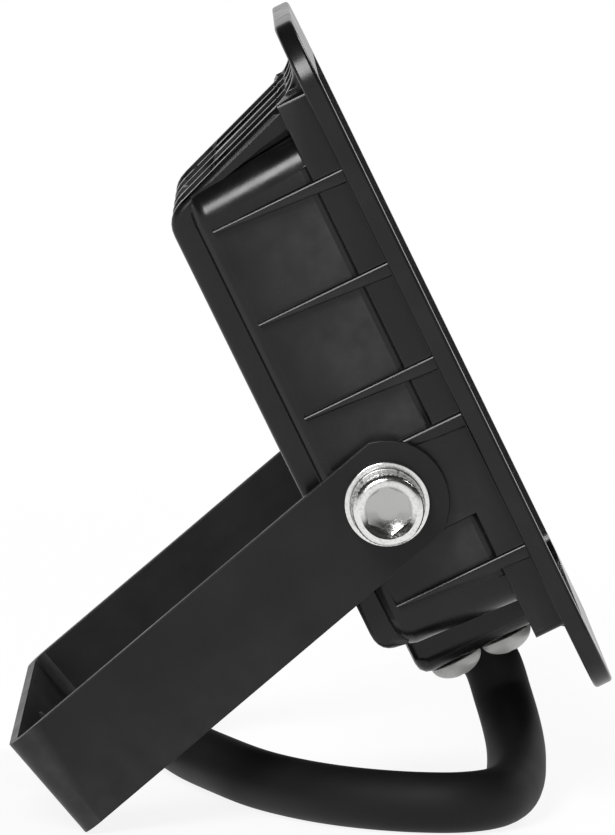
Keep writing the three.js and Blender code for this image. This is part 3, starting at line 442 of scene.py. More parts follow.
# %% Materials
GRAINED = {
    "black_enamel": dict(dark=(0.001, 0.001, 0.0011), light=(0.0085, 0.0085, 0.009), rough=(0.18, 0.3),
                         relief=0.14, distance=0.06, scale=1100, broad=140, wear=0.25, Specular_IOR_Level=0.3),
    "black_paint": dict(dark=(0.002, 0.002, 0.0021), light=(0.0095, 0.0095, 0.0098), rough=(0.32, 0.44),
                        relief=0.3, distance=0.06, scale=2200, broad=110, wear=0.3, Specular_IOR_Level=0.25),
    "rubber_black": dict(dark=(0.0032, 0.0032, 0.0032), light=(0.0058, 0.0058, 0.0058), rough=(0.55, 0.7),
                         relief=0.2, distance=0.08, scale=1800, broad=50, Specular_IOR_Level=0.24),
    "zinc": dict(dark=(0.5, 0.5, 0.49), light=(0.62, 0.62, 0.61), rough=(0.42, 0.55),
                 relief=0.15, distance=0.08, scale=2500, broad=500, Metallic=0.35),
    "glass_pane": dict(dark=(0.9, 0.94, 0.93), light=(0.94, 0.97, 0.96), rough=(0.01, 0.03),
                       relief=0.02, distance=0.02, scale=300, broad=40, Transmission_Weight=1.0, IOR=1.5),
    "seal_grey": dict(dark=(0.2, 0.2, 0.2), light=(0.3, 0.3, 0.3), rough=(0.6, 0.75)),
    "reflector_metal": dict(dark=(0.74, 0.75, 0.76), light=(0.84, 0.85, 0.86), rough=(0.17, 0.2),
                            relief=0.04, distance=0.04, scale=1200, broad=120, Metallic=1.0),
    "pad_grey": dict(dark=(0.28, 0.3, 0.33), light=(0.36, 0.38, 0.41), rough=(0.8, 0.9)),
    "plate_aluminium": dict(dark=(0.5, 0.51, 0.52), light=(0.6, 0.61, 0.62), rough=(0.3, 0.42), Metallic=1.0),
    "phosphor_yellow": dict(dark=(0.8, 0.56, 0.08), light=(0.92, 0.7, 0.14), rough=(0.4, 0.5), scale=2200),
    "insulation_film": dict(dark=(0.62, 0.58, 0.46), light=(0.74, 0.7, 0.58), rough=(0.5, 0.6)),
    "board_green": dict(dark=(0.008, 0.08, 0.03), light=(0.014, 0.12, 0.05), rough=(0.35, 0.5), broad=500),
    "coil_tape": dict(dark=(0.55, 0.37, 0.03), light=(0.72, 0.5, 0.06), rough=(0.3, 0.45), broad=300),
    "can_black": dict(dark=(0.01, 0.013, 0.022), light=(0.02, 0.026, 0.045), rough=(0.2, 0.3), broad=200),
    "coil_copper": dict(dark=(0.36, 0.1, 0.025), light=(0.55, 0.18, 0.06), rough=(0.25, 0.4), broad=900,
                        Metallic=0.9),
    "black_plastic": dict(dark=(0.007, 0.007, 0.007), light=(0.014, 0.014, 0.014), rough=(0.45, 0.6)),
    "grey_plastic": dict(dark=(0.5, 0.51, 0.5), light=(0.62, 0.63, 0.62), rough=(0.45, 0.55)),
    "core_brown": dict(dark=(0.08, 0.026, 0.01), light=(0.12, 0.042, 0.018), rough=(0.35, 0.45)),
    "core_blue": dict(dark=(0.014, 0.065, 0.3), light=(0.022, 0.1, 0.4), rough=(0.35, 0.45)),
    "core_green": dict(dark=(0.09, 0.28, 0.02), light=(0.13, 0.36, 0.03), rough=(0.35, 0.45)),
    "wire_red": dict(dark=(0.36, 0.01, 0.01), light=(0.5, 0.018, 0.018), rough=(0.35, 0.45)),
    "wire_black": dict(dark=(0.01, 0.01, 0.01), light=(0.018, 0.018, 0.018), rough=(0.4, 0.5)),
    "ferrule_blue": dict(dark=(0.035, 0.13, 0.48), light=(0.055, 0.19, 0.62), rough=(0.35, 0.45)),
}
BRIGHT = {
    "screw_chrome": dict(dark=(0.66, 0.66, 0.65), light=(0.8, 0.8, 0.79), rough=(0.12, 0.22)),
    "spring_steel": dict(dark=(0.2, 0.2, 0.195), light=(0.42, 0.42, 0.41), rough=(0.22, 0.4), relief=0.35,
                         rings=6000),
}
MAT = {name: material(name, **look) for name, look in GRAINED.items()}
MAT.update({name: turned_metal(name, **look) for name, look in BRIGHT.items()})


def finish(data, slot):
    """Let the mesh show one material only."""
    data.materials.clear()
    data.materials.append(MAT[slot])


def dress(piece, slot):
    finish(piece.data, slot)


for part in frame["record"]["subparts"]:
    finish(nodes[part["node"]].data, part["material_slot"])
dress(cable, "rubber_black")
for core, slot in zip(cores, ("core_brown", "core_green", "core_blue")):
    dress(core, slot)
print("materials:", len(MAT))

# %% [markdown]
# ## Rounding a cast piece
# Casting and paint leave no sharp edge, and a rounded edge is what catches the light. A Bevel
# modifier would round every edge alike, so this works in bmesh: a copy of a CAD piece gets its flat
# faces merged, and then each group of edges gets the round that it has on the real lamp.

# %% Helpers for rounded copies
CREASE = 40
WELD = 0.002 * MM
FLAT_WITHIN = 0.6


def shaded(data, crease):
    """Smooth shading, except where faces meet at more than the crease angle in degrees."""
    mesh = bmesh.new()
    mesh.from_mesh(data)
    for face in mesh.faces:
        face.smooth = True
    for edge in mesh.edges:
        edge.smooth = not (len(edge.link_faces) == 2 and edge.calc_face_angle(0) > math.radians(crease))
    mesh.to_mesh(data)
    mesh.free()


def weighted(piece):
    """Write normals that are weighted by face area into the mesh, so that flats stay flat."""
    piece.modifiers.new("weighted", "WEIGHTED_NORMAL").keep_sharp = True
    evaluated = piece.evaluated_get(bpy.context.evaluated_depsgraph_get())
    piece.data = bpy.data.meshes.new_from_object(evaluated)
    piece.modifiers.clear()
    piece.data.name = piece.name
    return piece


def round_edges(mesh, wanted, width, segments):
    """Round the edges that the test picks, and say how many they were."""
    picked = [e for e in mesh.edges if len(e.link_faces) == 2 and wanted(e)]
    bmesh.ops.bevel(mesh, geom=picked, offset=width * MM, offset_type="OFFSET", segments=segments, profile=0.5,
                    affect="EDGES", clamp_overlap=False, harden_normals=False)
    return len(picked)


def refined(node, name, slot, rounds, reshape=None):
    """A dressed copy of a CAD node; rounds lists (test, width in millimetres, segments)."""
    data = nodes[node].data.copy()
    data.name = name
    mesh = bmesh.new()
    mesh.from_mesh(data)
    bmesh.ops.remove_doubles(mesh, verts=mesh.verts, dist=WELD)
    if reshape:
        reshape(mesh)
    bmesh.ops.dissolve_limit(mesh, angle_limit=math.radians(FLAT_WITHIN), verts=mesh.verts, edges=mesh.edges)
    rounded = [round_edges(mesh, *step) for step in rounds]
    bmesh.ops.triangulate(mesh, faces=[f for f in mesh.faces if len(f.verts) > 4])
    mesh.to_mesh(data)
    mesh.free()
    shaded(data, CREASE)
    piece = weighted(in_scene(name, data))
    dress(piece, slot)
    print(name, "edges rounded:", rounded, "triangles:", sum(len(p.vertices) - 2 for p in piece.data.polygons))
    return piece


def sharp(edge, degrees=26, shortest=0.6):
    return edge.calc_face_angle(0) > math.radians(degrees) and edge.calc_length() > shortest * MM


# %% [markdown]
# ## Bracket
# The bracket is a flat strip bent to a U, with punched holes. Its copy gets one small round all
# over, as a coat of paint gives it.

# %% Bracket
bracket = refined("bracket", "bracket_strip", "black_paint", [(lambda e: sharp(e, 30, 0.5), 0.22, 3)])

# %% [markdown]
# ## Fins that run on
# Five fins stand on the back of the housing. In the photograph their crests run on as stripes over
# the body's upper rear edge and again over the rim. The CAD has flat tops there, so the copy's top
# is cut into strips along the fins, and the strips between the fins are lowered, with eased flanks.

# %% Fins over the bends
FIN_SIDE = 33.6
FIN_PITCH = 15.8
FIN_PLACES = [FIN_PITCH * i for i in range(-2, 3)]
CREST_HALF, FLANK_HALF, FOOT_HALF = 0.9, 1.4, 1.96
CREST_START, CREST_START_HEIGHT, CREST_SLOPE = -10.6, 49.25, 0.3502
GROOVE = 1.3
BEND_START, BEND_END, GROOVE_END = -7.32, -1.2, 4
BODY_FOOT, BODY_TOP, RIM_TOP = 49, 52.2, 57.4
RIM_SPAN = (10.3, 14.9)
RIM_STEP = 0.1
STRIP_EDGES = (-FOOT_HALF, -FLANK_HALF, -CREST_HALF, CREST_HALF, FLANK_HALF, FOOT_HALF)
STRIP_ENDS = (-4.2, -2.25, BEND_END, 0.8, GROOVE_END)
TOPS = ((-34, 34), (48.9, 61), (-7.7, 14.84))
TOPS_HEIGHT = 50
BENT_CRESTS = ((-FIN_SIDE, FIN_SIDE), (BODY_FOOT, 53), (-7.3, BEND_END))
RIM_CRESTS = ((-FIN_SIDE, FIN_SIDE), (55.5, math.inf), (10.6, 14.8))
SAME = 0.02


def inside(place, zone):
    """Whether a place in the head's millimetres lies between the zone's limits across, up and out."""
    return all(low < value < high for value, (low, high) in zip(place, zone))


def middle_of(edge):
    return sum((in_head(v.co) for v in edge.verts), Vector()) / 2


def eased(value, low, high):
    share = min(1, max(0, (value - low) / (high - low)))
    return share * share * (3 - 2 * share)


def crest_height(out):
    """The straight line in which the fins' crests rise towards the rim."""
    return CREST_START_HEIGHT + CREST_SLOPE * (out - CREST_START)


def cut_tops(mesh, place, normal):
    """Split the faces of the body's top and of the rim along the plane through the place."""
    faces = [face for face in mesh.faces if inside(in_head(face.calc_center_median()), TOPS)]
    edges = {edge for face in faces for edge in face.edges}
    corners = {vertex for face in faces for vertex in face.verts}
    bmesh.ops.bisect_plane(mesh, geom=[*corners, *edges, *faces], dist=1e-6, plane_co=place, plane_no=normal)


def carry_fins_over(mesh):
    """Lower the body's upper rear edge and the rim between the fins, so that the crests run on."""
    for middle in FIN_PLACES:
        for step in STRIP_EDGES:
            cut_tops(mesh, head_point(middle + step, TOPS_HEIGHT, 0), SIDE)
    for out in STRIP_ENDS:
        cut_tops(mesh, head_point(0, TOPS_HEIGHT, out), head_direction(0, 0, 1))
    for vertex in mesh.verts:
        across, up, out = in_head(vertex.co)
        if abs(across) > FIN_SIDE - 0.05:
            continue
        beside = 0 if abs(across) > FIN_PLACES[-1] else min(abs(across - middle) for middle in FIN_PLACES)
        drop = GROOVE * eased(beside, CREST_HALF, FOOT_HALF)
        crest = crest_height(out)
        if BODY_FOOT < up < BODY_TOP + SAME and BEND_START < out < GROOVE_END + SAME:
            fading = drop * (1 - eased(out, BEND_END, GROOVE_END))
            vertex.co = head_point(across, min(up, min(crest, BODY_TOP) - fading), out)
        elif abs(up - RIM_TOP) < SAME and RIM_SPAN[0] < out < RIM_SPAN[1]:
            vertex.co = head_point(across, min(up, min(crest + RIM_STEP, RIM_TOP) - drop), out)


def carried(edge):
    """An edge on the part of the fins that is carried over a bend, which is smooth already."""
    middle = middle_of(edge)
    return inside(middle, BENT_CRESTS) or inside(middle, RIM_CRESTS)


print("fins at", FIN_PLACES, "crest at the rim:", round(crest_height(RIM_SPAN[0]), 2))

# %% [markdown]
# ## Housing
# The housing is one die casting, and its rounds differ: wide on the fins' crests and on the ribs,
# which draw the thin bright lines in the photograph, wide at the foot of the outer fin, and small
# elsewhere. Each test below finds one kind of edge by its place in the head's own millimetres.

# %% Housing
RIB_TOPS = (45.1, 30.5, 15.8, -13.9)
BOSS_RIB_TOP = (6.9,)
WALL_FROM = 36.8
FRAME_ROUND_EDGES = (14.917, 15.1, 17.35, 17.533)
AT_HEIGHT = 0.03
OUTER_FIN_FROM, OUTER_BEND_END = 33, 0.8
BACK_END, SLOPE_END, FRAME_START = -7.4, 10.5, 14.5
ABOVE_RIM = 57.6
ROLL_SPAN = (47, 52.6)
LEDGE_FOOT, LEDGE_END = 56.7, 10.85
LEDGE_LEFT = 0.1


def level_edge(edge, heights):
    """A long outer edge that runs at one of these heights on the side wall."""
    ends = [in_head(v.co) for v in edge.verts]
    level = any(all(abs(end.y - height) < AT_HEIGHT for end in ends) for height in heights)
    return level and edge.is_convex and sharp(edge, 60, 1) and all(abs(end.x) > WALL_FROM for end in ends)


def fin_crest(edge):
    """An edge between a fin's side and its crest, where the fin stands clear of the body."""
    across, up, out = middle_of(edge)
    facing = sorted(abs(face.normal.x) for face in edge.link_faces)
    bend_end = OUTER_BEND_END if abs(across) > OUTER_FIN_FROM else BEND_END
    clear = out < BACK_END or bend_end < out < SLOPE_END or (out < FRAME_START and up > ABOVE_RIM)
    side_to_crest = edge.is_convex and facing[0] < 0.1 and facing[1] > 0.95
    return abs(across) < FIN_SIDE + 0.5 and clear and side_to_crest


def roll_foot(edge):
    """The inner edge where the outer fin stands on the body's rounded corner."""
    ends = [in_head(v.co) for v in edge.verts]
    at_foot = all(abs(abs(end.x) - FIN_SIDE) < 0.1 and ROLL_SPAN[0] < end.y < ROLL_SPAN[1] for end in ends)
    return at_foot and not edge.is_convex and sharp(edge, 20, 1)


def frame_round(edge):
    """A middle edge of the frame's coarse CAD round, too near its neighbour for the common round."""
    level = any(abs(middle_of(edge).z - height) < AT_HEIGHT for height in FRAME_ROUND_EDGES)
    return level and edge.is_convex and 25 < math.degrees(edge.calc_face_angle(0)) < 35


def press_ledge(piece):
    """Press the thin ledge that the rounds leave behind the rim's top almost flat."""
    for vertex in piece.data.vertices:
        across, up, out = in_head(vertex.co)
        if RIM_SPAN[0] < out < LEDGE_END and up > LEDGE_FOOT:
            vertex.co = head_point(across, LEDGE_FOOT + (up - LEDGE_FOOT) * LEDGE_LEFT, out)


housing = refined("housing", "housing_cast", "black_enamel", [
    (fin_crest, 1.2, 6),
    (roll_foot, 0.9, 5),
    (lambda e: level_edge(e, BOSS_RIB_TOP), 0.75, 8),
    (lambda e: level_edge(e, RIB_TOPS), 0.6, 8),
    (frame_round, 0.12, 3),
    (lambda e: sharp(e) and not e.is_convex and not carried(e), 0.25, 4),
    (lambda e: sharp(e) and e.is_convex and not carried(e), 0.26, 4),
], carry_fins_over)
press_ledge(housing)

# %% [markdown]
# ## A lathe of nodes
# Screws, washers and ferrules are all turned on a lathe: half a profile, spun round an axis. A
# Screw modifier could spin it, but one Geometry Nodes tree can also cut a key's hexagon and a
# crossed recess and set the copies. It reads the profile as the points of the object it sits on,
# bends a grid round the axis by those points, and sets one copy on each point of a second object.
# Three numbers on a profile point give it more than a plain round: "hexagon" pulls it out onto a
# key's six flats, "slope" lifts that hexagon's corners, and "knurl" cuts a cap screw's grip marks.

# %% Last nodes of both trees
def set_on_places(group, given, leave, points, shape):
    """Put a copy on each point, with its Z along the point's "outward", and give it the finish."""
    aim = new_node(group, "GeometryNodeInputNamedAttribute", data_type="FLOAT_VECTOR")
    feed(group, aim, {"Name": "outward"})
    turn = new_node(group, "FunctionNodeAlignRotationToVector", {"Vector": aim.outputs["Attribute"]}, axis="Z")
    copies = new_node(group, "GeometryNodeInstanceOnPoints", {
        "Points": points, "Instance": shape, "Rotation": turn.outputs[0]})
    real = new_node(group, "GeometryNodeRealizeInstances", {0: copies.outputs[0]})
    finished = new_node(group, "GeometryNodeSetMaterial", {
        "Geometry": real.outputs[0], "Material": given["Finish"]})
    feed(group, leave, {0: finished.outputs[0]})


# %% Spinning and carving
def spun(group, given):
    """The profile bent round the axis to a closed surface, with its hexagon and its knurls."""
    def calc(operation, *values):
        return maths(group, operation, *values)

    points = new_node(group, "GeometryNodeAttributeDomainSize", {0: given["Geometry"]}).outputs["Point Count"]
    last = calc("SUBTRACT", points, 1)
    grid = new_node(group, "GeometryNodeMeshGrid", {
        "Size X": last, "Size Y": 1, "Vertices X": points, "Vertices Y": calc("ADD", given["Steps round"], 1)})
    position = new_node(group, "GeometryNodeInputPosition").outputs[0]
    on_grid = new_node(group, "ShaderNodeSeparateXYZ", {0: position}).outputs
    index = calc("ROUND", calc("ADD", on_grid["X"], calc("DIVIDE", last, 2)))
    angle = calc("MULTIPLY", on_grid["Y"], 2 * math.pi)

    def sampled(kind, field):
        """The field's value at the profile point that this point of the grid stands for."""
        return new_node(group, "GeometryNodeSampleIndex", {
            "Geometry": given["Geometry"], "Value": field, "Index": index}, data_type=kind).outputs["Value"]

    def profile_number(name):
        named = new_node(group, "GeometryNodeInputNamedAttribute", {"Name": name}, data_type="FLOAT")
        return sampled("FLOAT", named.outputs["Attribute"])

    profile = new_node(group, "GeometryNodeInputPosition").outputs[0]
    spot = new_node(group, "ShaderNodeSeparateXYZ", {0: sampled("FLOAT_VECTOR", profile)}).outputs
    hexagon, slope, knurl = profile_number("hexagon"), profile_number("slope"), profile_number("knurl")
    flat = calc("DIVIDE", given["Across flats"], 2)
    sector = calc("WRAP", calc("SUBTRACT", angle, given["Hexagon turn"]), math.pi / 6, -math.pi / 6)
    wall = calc("DIVIDE", flat, calc("COSINE", sector))
    round_part = calc("MULTIPLY", spot["X"], calc("SUBTRACT", 1, hexagon))
    radius = calc("MULTIPLY_ADD", wall, hexagon, round_part)
    wave = calc("PINGPONG", calc("MULTIPLY", angle, given["Knurls"]), math.pi)
    depth = calc("MULTIPLY", given["Knurl depth"], knurl)
    radius = calc("SUBTRACT", radius, calc("MULTIPLY", depth, calc("DIVIDE", wave, math.pi)))
    rise = calc("MULTIPLY", calc("MULTIPLY", calc("SUBTRACT", wall, flat), slope), hexagon)
    put = new_node(group, "ShaderNodeCombineXYZ", {
        "X": calc("MULTIPLY", radius, calc("COSINE", angle)),
        "Y": calc("MULTIPLY", radius, calc("SINE", angle)),
        "Z": calc("ADD", spot["Y"], rise)})
    bent = new_node(group, "GeometryNodeSetPosition", {
        "Geometry": grid.outputs["Mesh"], "Position": put.outputs[0]})
    return new_node(group, "GeometryNodeMergeByDistance", {0: bent.outputs[0], "Distance": WELD}).outputs[0]


def with_cross(group, given, solid):
    """The solid with a crossed recess cut into it, or as it is where the cross has no length."""
    depth = maths(group, "MULTIPLY", given["Cross depth"], 2)
    lift = new_node(group, "ShaderNodeCombineXYZ", {"Z": given["Cross height"]}).outputs[0]
    carve = new_node(group, "GeometryNodeMeshBoolean", {0: solid}, operation="DIFFERENCE")
    for first, second in (("Cross length", "Cross width"), ("Cross width", "Cross length")):
        sides = new_node(group, "ShaderNodeCombineXYZ", {"X": given[first], "Y": given[second], "Z": depth})
        bar = new_node(group, "GeometryNodeMeshCube", {"Size": sides.outputs[0]})
        lifted = new_node(group, "GeometryNodeTransform", {
            "Geometry": bar.outputs["Mesh"], "Translation": lift})
        feed(group, carve, {1: lifted.outputs[0]})
    crossed = new_node(group, "GeometryNodeSwitch", input_type="GEOMETRY")
    has_cross = maths(group, "GREATER_THAN", given["Cross length"], 0)
    feed(group, crossed, {"Switch": has_cross, "False": solid, "True": carve.outputs[0]})
    return crossed.outputs[0]


# %% Tree for turned pieces
def lathe_tree():
    group, given, leave = node_group(
        "turned_on_places", "GeometryNodeTree",
        {"Geometry": "Geometry", "Places": "Object", "Steps round": 96, "Across flats": 6 * MM,
         "Hexagon turn": 0.0, "Knurls": 40.0, "Knurl depth": 0.0, "Cross length": 0.0,
         "Cross width": 0.8 * MM, "Cross height": 0.0, "Cross depth": 1 * MM, "Finish": "Material"},
        {"Geometry": "Geometry"})
    shape = with_cross(group, given, spun(group, given))
    places = new_node(group, "GeometryNodeObjectInfo", {"Object": given["Places"]}).outputs["Geometry"]
    set_on_places(group, given, leave, places, shape)
    return group


LATHE = lathe_tree()
print("geometry tree:", LATHE.name, "nodes:", len(LATHE.nodes))

# %% [markdown]
# ## Profiles and places
# A profile is drawn from the axis out, in millimetres, and becomes a plain chain of points. The
# places are points too, each with the direction that the piece's own Z takes. Both objects are
# only patterns: they are thrown away once the tree's result is a plain mesh.

# %% Turned pieces
PROFILE_NUMBERS = ("hexagon", "slope", "knurl")
TURNED_CREASE = 32


def profile_object(name, rows):
    """Half a profile: rows of radius, height and, where needed, hexagon, slope and knurl."""
    rows = [tuple(row) + (0,) * (5 - len(row)) for row in rows]
    data = bpy.data.meshes.new(name)
    chain = [(i, i + 1) for i in range(len(rows) - 1)]
    data.from_pydata([(r * MM, z * MM, 0) for r, z, *_ in rows], chain, [])
    for column, key in enumerate(PROFILE_NUMBERS, 2):
        values = data.attributes.new(key, "FLOAT", "POINT")
        values.data.foreach_set("value", [float(row[column]) for row in rows])
    return in_scene(name, data)


def places_object(name, spots):
    """Points with a direction: spots is a list of (place, outward) in metres."""
    data = bpy.data.meshes.new(name)
    data.from_pydata([tuple(place) for place, _ in spots], [], [])
    values = data.attributes.new("outward", "FLOAT_VECTOR", "POINT")
    values.data.foreach_set("vector", [v for _, outward in spots for v in outward])
    return in_scene(name, data)


def plain_result(pattern, tree, inputs, name, slot):
    """Run the tree on the pattern, and keep what it makes as a plain mesh in a new piece."""
    modifier = pattern.modifiers.new("tree", "NODES")
    modifier.node_group = tree
    for item in tree.interface.items_tree:
        if item.in_out == "INPUT" and item.name in inputs:
            modifier[item.identifier] = inputs[item.name]
    bpy.context.view_layer.update()
    evaluated = pattern.evaluated_get(bpy.context.evaluated_depsgraph_get())
    data = bpy.data.meshes.new_from_object(evaluated)
    data.name = name
    bpy.data.objects.remove(pattern)
    mesh = bmesh.new()
    mesh.from_mesh(data)
    bmesh.ops.recalc_face_normals(mesh, faces=mesh.faces)
    mesh.to_mesh(data)
    mesh.free()
    shaded(data, TURNED_CREASE)
    for key in (*PROFILE_NUMBERS, "outward"):
        if key in data.attributes:
            data.attributes.remove(data.attributes[key])
    piece = weighted(in_scene(name, data))
    dress(piece, slot)
    print(name, "triangles:", sum(len(p.vertices) - 2 for p in piece.data.polygons))
    return piece


def turned(name, rows, spots, slot, **inputs):
    """Spin the profile and set one copy on each spot."""
    places = places_object(name + "_places", spots)
    inputs = {key.replace("_", " "): value for key, value in inputs.items()}
    inputs.update(Places=places, Finish=MAT[slot])
    piece = plain_result(profile_object(name + "_profile", rows), LATHE, inputs, name, slot)
    bpy.data.objects.remove(places)
    return piece


# %% [markdown]
# ## Pivot hardware
# Each arm is held by a chromed cap screw with a hexagon socket, a spring washer and a flat washer,
# stacked outwards from the arm. The stack starts at 40.15 mm from the middle, and both sides are
# alike, so the places are two points with opposite directions.

# %% Pivot screws and flat washers
STACK = {"flat": 40.15, "spring": 41.8, "head": 43.45}


def both_sides(distance):
    return [(PIVOT + SIDE * s * distance * MM, SIDE * s) for s in (-1, 1)]


def cap_screw_profile():
    """The shank, the knurled side, the rounded shoulder, the hexagon's walls and its drilled floor."""
    rows = [(0, -12), (2.5, -12), (3, -11.5), (3, -0.2), (3.1, 0), (4.7, 0)]
    rows += [(4.9, 0.08, 0, 0, 1), (5, 0.3, 0, 0, 1), (5, 2.8, 0, 0, 1), (5, 5.05, 0, 0, 1)]
    rows += [(4.98, 5.25, 0, 0, 0.6), (4.91, 5.46, 0, 0, 0.2), (4.79, 5.65), (4.62, 5.81), (4.42, 5.91)]
    rows += [(4.2, 5.97), (3.96, 5.99), (3.86, 5.92), (3.4, 5.18, 1, 0.95), (3.4, 5.02, 1, 0.8)]
    rows += [(3.4, 3.1, 1, 0.3), (3.4, 2.9, 1, 0.3), (3.4, 2.78, 1, 0.3)]
    rows += [(2.4, 2.6), (1.75, 2.42), (1.6, 2.4), (0.8, 2.38), (0, 2.38)]
    return rows


def corner(r, z, radius, start, steps=3):
    """Points of a rounded corner with its centre at r, z, from the start angle through a quarter turn."""
    angles = [math.radians(start + 90 * i / steps) for i in range(steps + 1)]
    return [(r + radius * math.cos(angle), z + radius * math.sin(angle)) for angle in angles]


def washer_profile(outer, inner, thickness, edge):
    """A flat ring's section with four rounded corners, closed by its first point."""
    top = thickness - edge
    centres = ((outer - edge, top), (inner + edge, top), (inner + edge, edge), (outer - edge, edge))
    rows = [point for i, (r, z) in enumerate(centres) for point in corner(r, z, edge, 90 * i)]
    return rows + rows[:1]


pivot_screws = turned("pivot_cap_screws", cap_screw_profile(), both_sides(STACK["head"]), "screw_chrome",
                      Steps_round=240, Across_flats=6 * MM, Hexagon_turn=math.radians(38), Knurls=48.0,
                      Knurl_depth=0.1 * MM)
flat_washers = turned("flat_washer_pair", washer_profile(6, 3.3, 1.5, 0.22), both_sides(STACK["flat"]),
                      "screw_chrome")

# %% [markdown]
# ## Spring washers
# A spring washer is a ring of square wire with a slit, so the lathe can't make it. A second small
# tree sweeps a rounded square along an arc that stops short of a full turn, closes its ends and
# sets it on the same kind of places.

# %% Spring washers
def split_ring_tree():
    group, given, leave = node_group(
        "split_ring", "GeometryNodeTree",
        {"Geometry": "Geometry", "Radius": 4.3 * MM, "Wire width": 1.9 * MM, "Wire height": 1.5 * MM,
         "Sweep": 6.1, "Start": 0.0, "Finish": "Material"},
        {"Geometry": "Geometry"})
    arc = new_node(group, "GeometryNodeCurveArc", {
        "Resolution": 97, "Radius": given["Radius"], "Sweep Angle": given["Sweep"],
        "Start Angle": given["Start"]})
    wire = new_node(group, "GeometryNodeCurvePrimitiveQuadrilateral", {
        "Width": given["Wire width"], "Height": given["Wire height"]})
    rounded = new_node(group, "GeometryNodeFilletCurve", mode="POLY")
    feed(group, rounded, {"Curve": wire.outputs[0], "Count": 3, "Radius": 0.18 * MM})
    swept = new_node(group, "GeometryNodeCurveToMesh", {
        "Curve": arc.outputs["Curve"], "Profile Curve": rounded.outputs[0], "Fill Caps": True})
    set_on_places(group, given, leave, given["Geometry"], swept.outputs[0])
    return group


WIRE_HEIGHT = 1.5
SLIT = 0.26
spring_pair = plain_result(
    places_object("spring_washer_places", both_sides(STACK["spring"] + WIRE_HEIGHT / 2)), split_ring_tree(),
    {"Radius": 4.325 * MM, "Wire width": 1.95 * MM, "Wire height": WIRE_HEIGHT * MM,
     "Sweep": 2 * math.pi - SLIT, "Start": 2.5, "Finish": MAT["spring_steel"]},
    "spring_washer_pair", "spring_steel")

# %% [markdown]
# ## Small screws
# The cable's clamp plate is held by four pan head screws whose domes show under the cable box, and
# the LED plate by four small ones. Their places are the corners of a rectangle in the head's own
# millimetres. Both kinds get a crossed recess, cut into the dome before it is copied.

# %% Clamp and plate screws
CLAMP_FACE, CLAMP_ACROSS, CLAMP_OUT = -28.65, (-8.7, 8.7), (-2, 6.1)
PLATE_FACE, PLATE_ACROSS, PLATE_UP = 4.45, (-8.6, 8.6), (20.4, 37.6)
TIP_BEVEL, HEAD_BEVEL, UNDER_DOME = 0.25, 0.15, 0.12


def dome_profile(radius, height, shank, length, steps=9):
    """A pan head screw: its shank, the flat under its head, and a quarter of an ellipse."""
    rows = [(0, -length), (shank - TIP_BEVEL, -length), (shank, -length + TIP_BEVEL), (shank, 0)]
    rows += [(radius - HEAD_BEVEL, 0), (radius, UNDER_DOME)]
    for i in range(1, steps):
        angle = math.radians(90 * i / steps)
        rows.append((radius * math.cos(angle), UNDER_DOME + (height - UNDER_DOME) * math.sin(angle)))
    return rows + [(0, height)]


clamp_spots = [(head_point(across, CLAMP_FACE, out), head_direction(0, -1, 0))
               for across in CLAMP_ACROSS for out in CLAMP_OUT]
clamp_screws = turned("clamp_pan_screws", dome_profile(3.9, 2.7, 1.7, 8.2), clamp_spots, "zinc",
                      Steps_round=64, Cross_length=3.4 * MM, Cross_width=0.8 * MM, Cross_height=2.7 * MM,
                      Cross_depth=1.2 * MM)
plate_spots = [(head_point(across, up, PLATE_FACE), head_direction(0, 0, 1))
               for across in PLATE_ACROSS for up in PLATE_UP]
plate_screws = turned("plate_pan_screws", dome_profile(2.2, 1.5, 1.3, 6), plate_spots, "zinc",
                      Steps_round=40, Cross_length=2.4 * MM, Cross_width=0.5 * MM, Cross_height=1.5 * MM,
                      Cross_depth=0.6 * MM)

# %% [markdown]
# ## Ferrules
# Each core ends in a crimped ferrule: a wide plastic collar over the insulation and a thin metal
# sleeve over the strands. It is one moulded and pressed piece on the real lead, so one profile
# gives both, with a small funnel at the collar.

# %% Ferrules
FERRULE = [(0, 0), (1.2, 0), (1.55, 0.2), (1.55, 3.4), (1.35, 3.8), (0.95, 4), (0.85, 4.1), (0.85, 11.8),
           (0.7, 12), (0, 12)]
FERRULE_GAP = 0.3
ferrules = [turned("ferrule_" + name + "_sleeve", FERRULE, [(end + FERRULE_GAP * MM * SIDE, SIDE)],
                   "ferrule_blue", Steps_round=40) for name, end in zip(CORE_NAMES, core_ends)]

# %% [markdown]
# ## Riding
# Each new piece rides on a CAD body, and the CAD nodes that it takes the place of are hidden.

# %% Ride and replace
STANDS_FOR = [
    (housing, "head", ["housing"]),
    (bracket, "bracket", ["bracket"]),
    (pivot_screws, "head", ["pivot_screw_near", "pivot_screw_far"]),
    (flat_washers, "head", ["flat_washer_near", "flat_washer_far"]),
    (spring_pair, "head", ["spring_washer_near", "spring_washer_far"]),
    (clamp_screws, "head", [f"clamp_screw_{i}" for i in range(1, 5)]),
    (plate_screws, "head", [f"led_plate_screw_{i}" for i in range(1, 5)]),
    (cable, "bracket", ["cable"]),
]
STANDS_FOR += [(core, "bracket", ["core_" + name]) for core, name in zip(cores, CORE_NAMES)]
STANDS_FOR += [(sleeve, "bracket", ["ferrule_" + name]) for sleeve, name in zip(ferrules, CORE_NAMES)]
for piece, body, replaced in STANDS_FOR:
    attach(piece, body)
    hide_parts(*replaced)
print("pieces riding:", len(STANDS_FOR))

# %% [markdown]
# ## Floor and backdrop
# The floor is pale and keeps the lamp's shadow; away from it the floor fades into plain white. The
# world is white to the camera, and in reflections white near the floor and dark overhead, as in a
# studio with a white sweep and a dark ceiling. That dark ceiling gives gloss and chrome their
# contrast, and no more than a strength of 1 is ever seen in it.

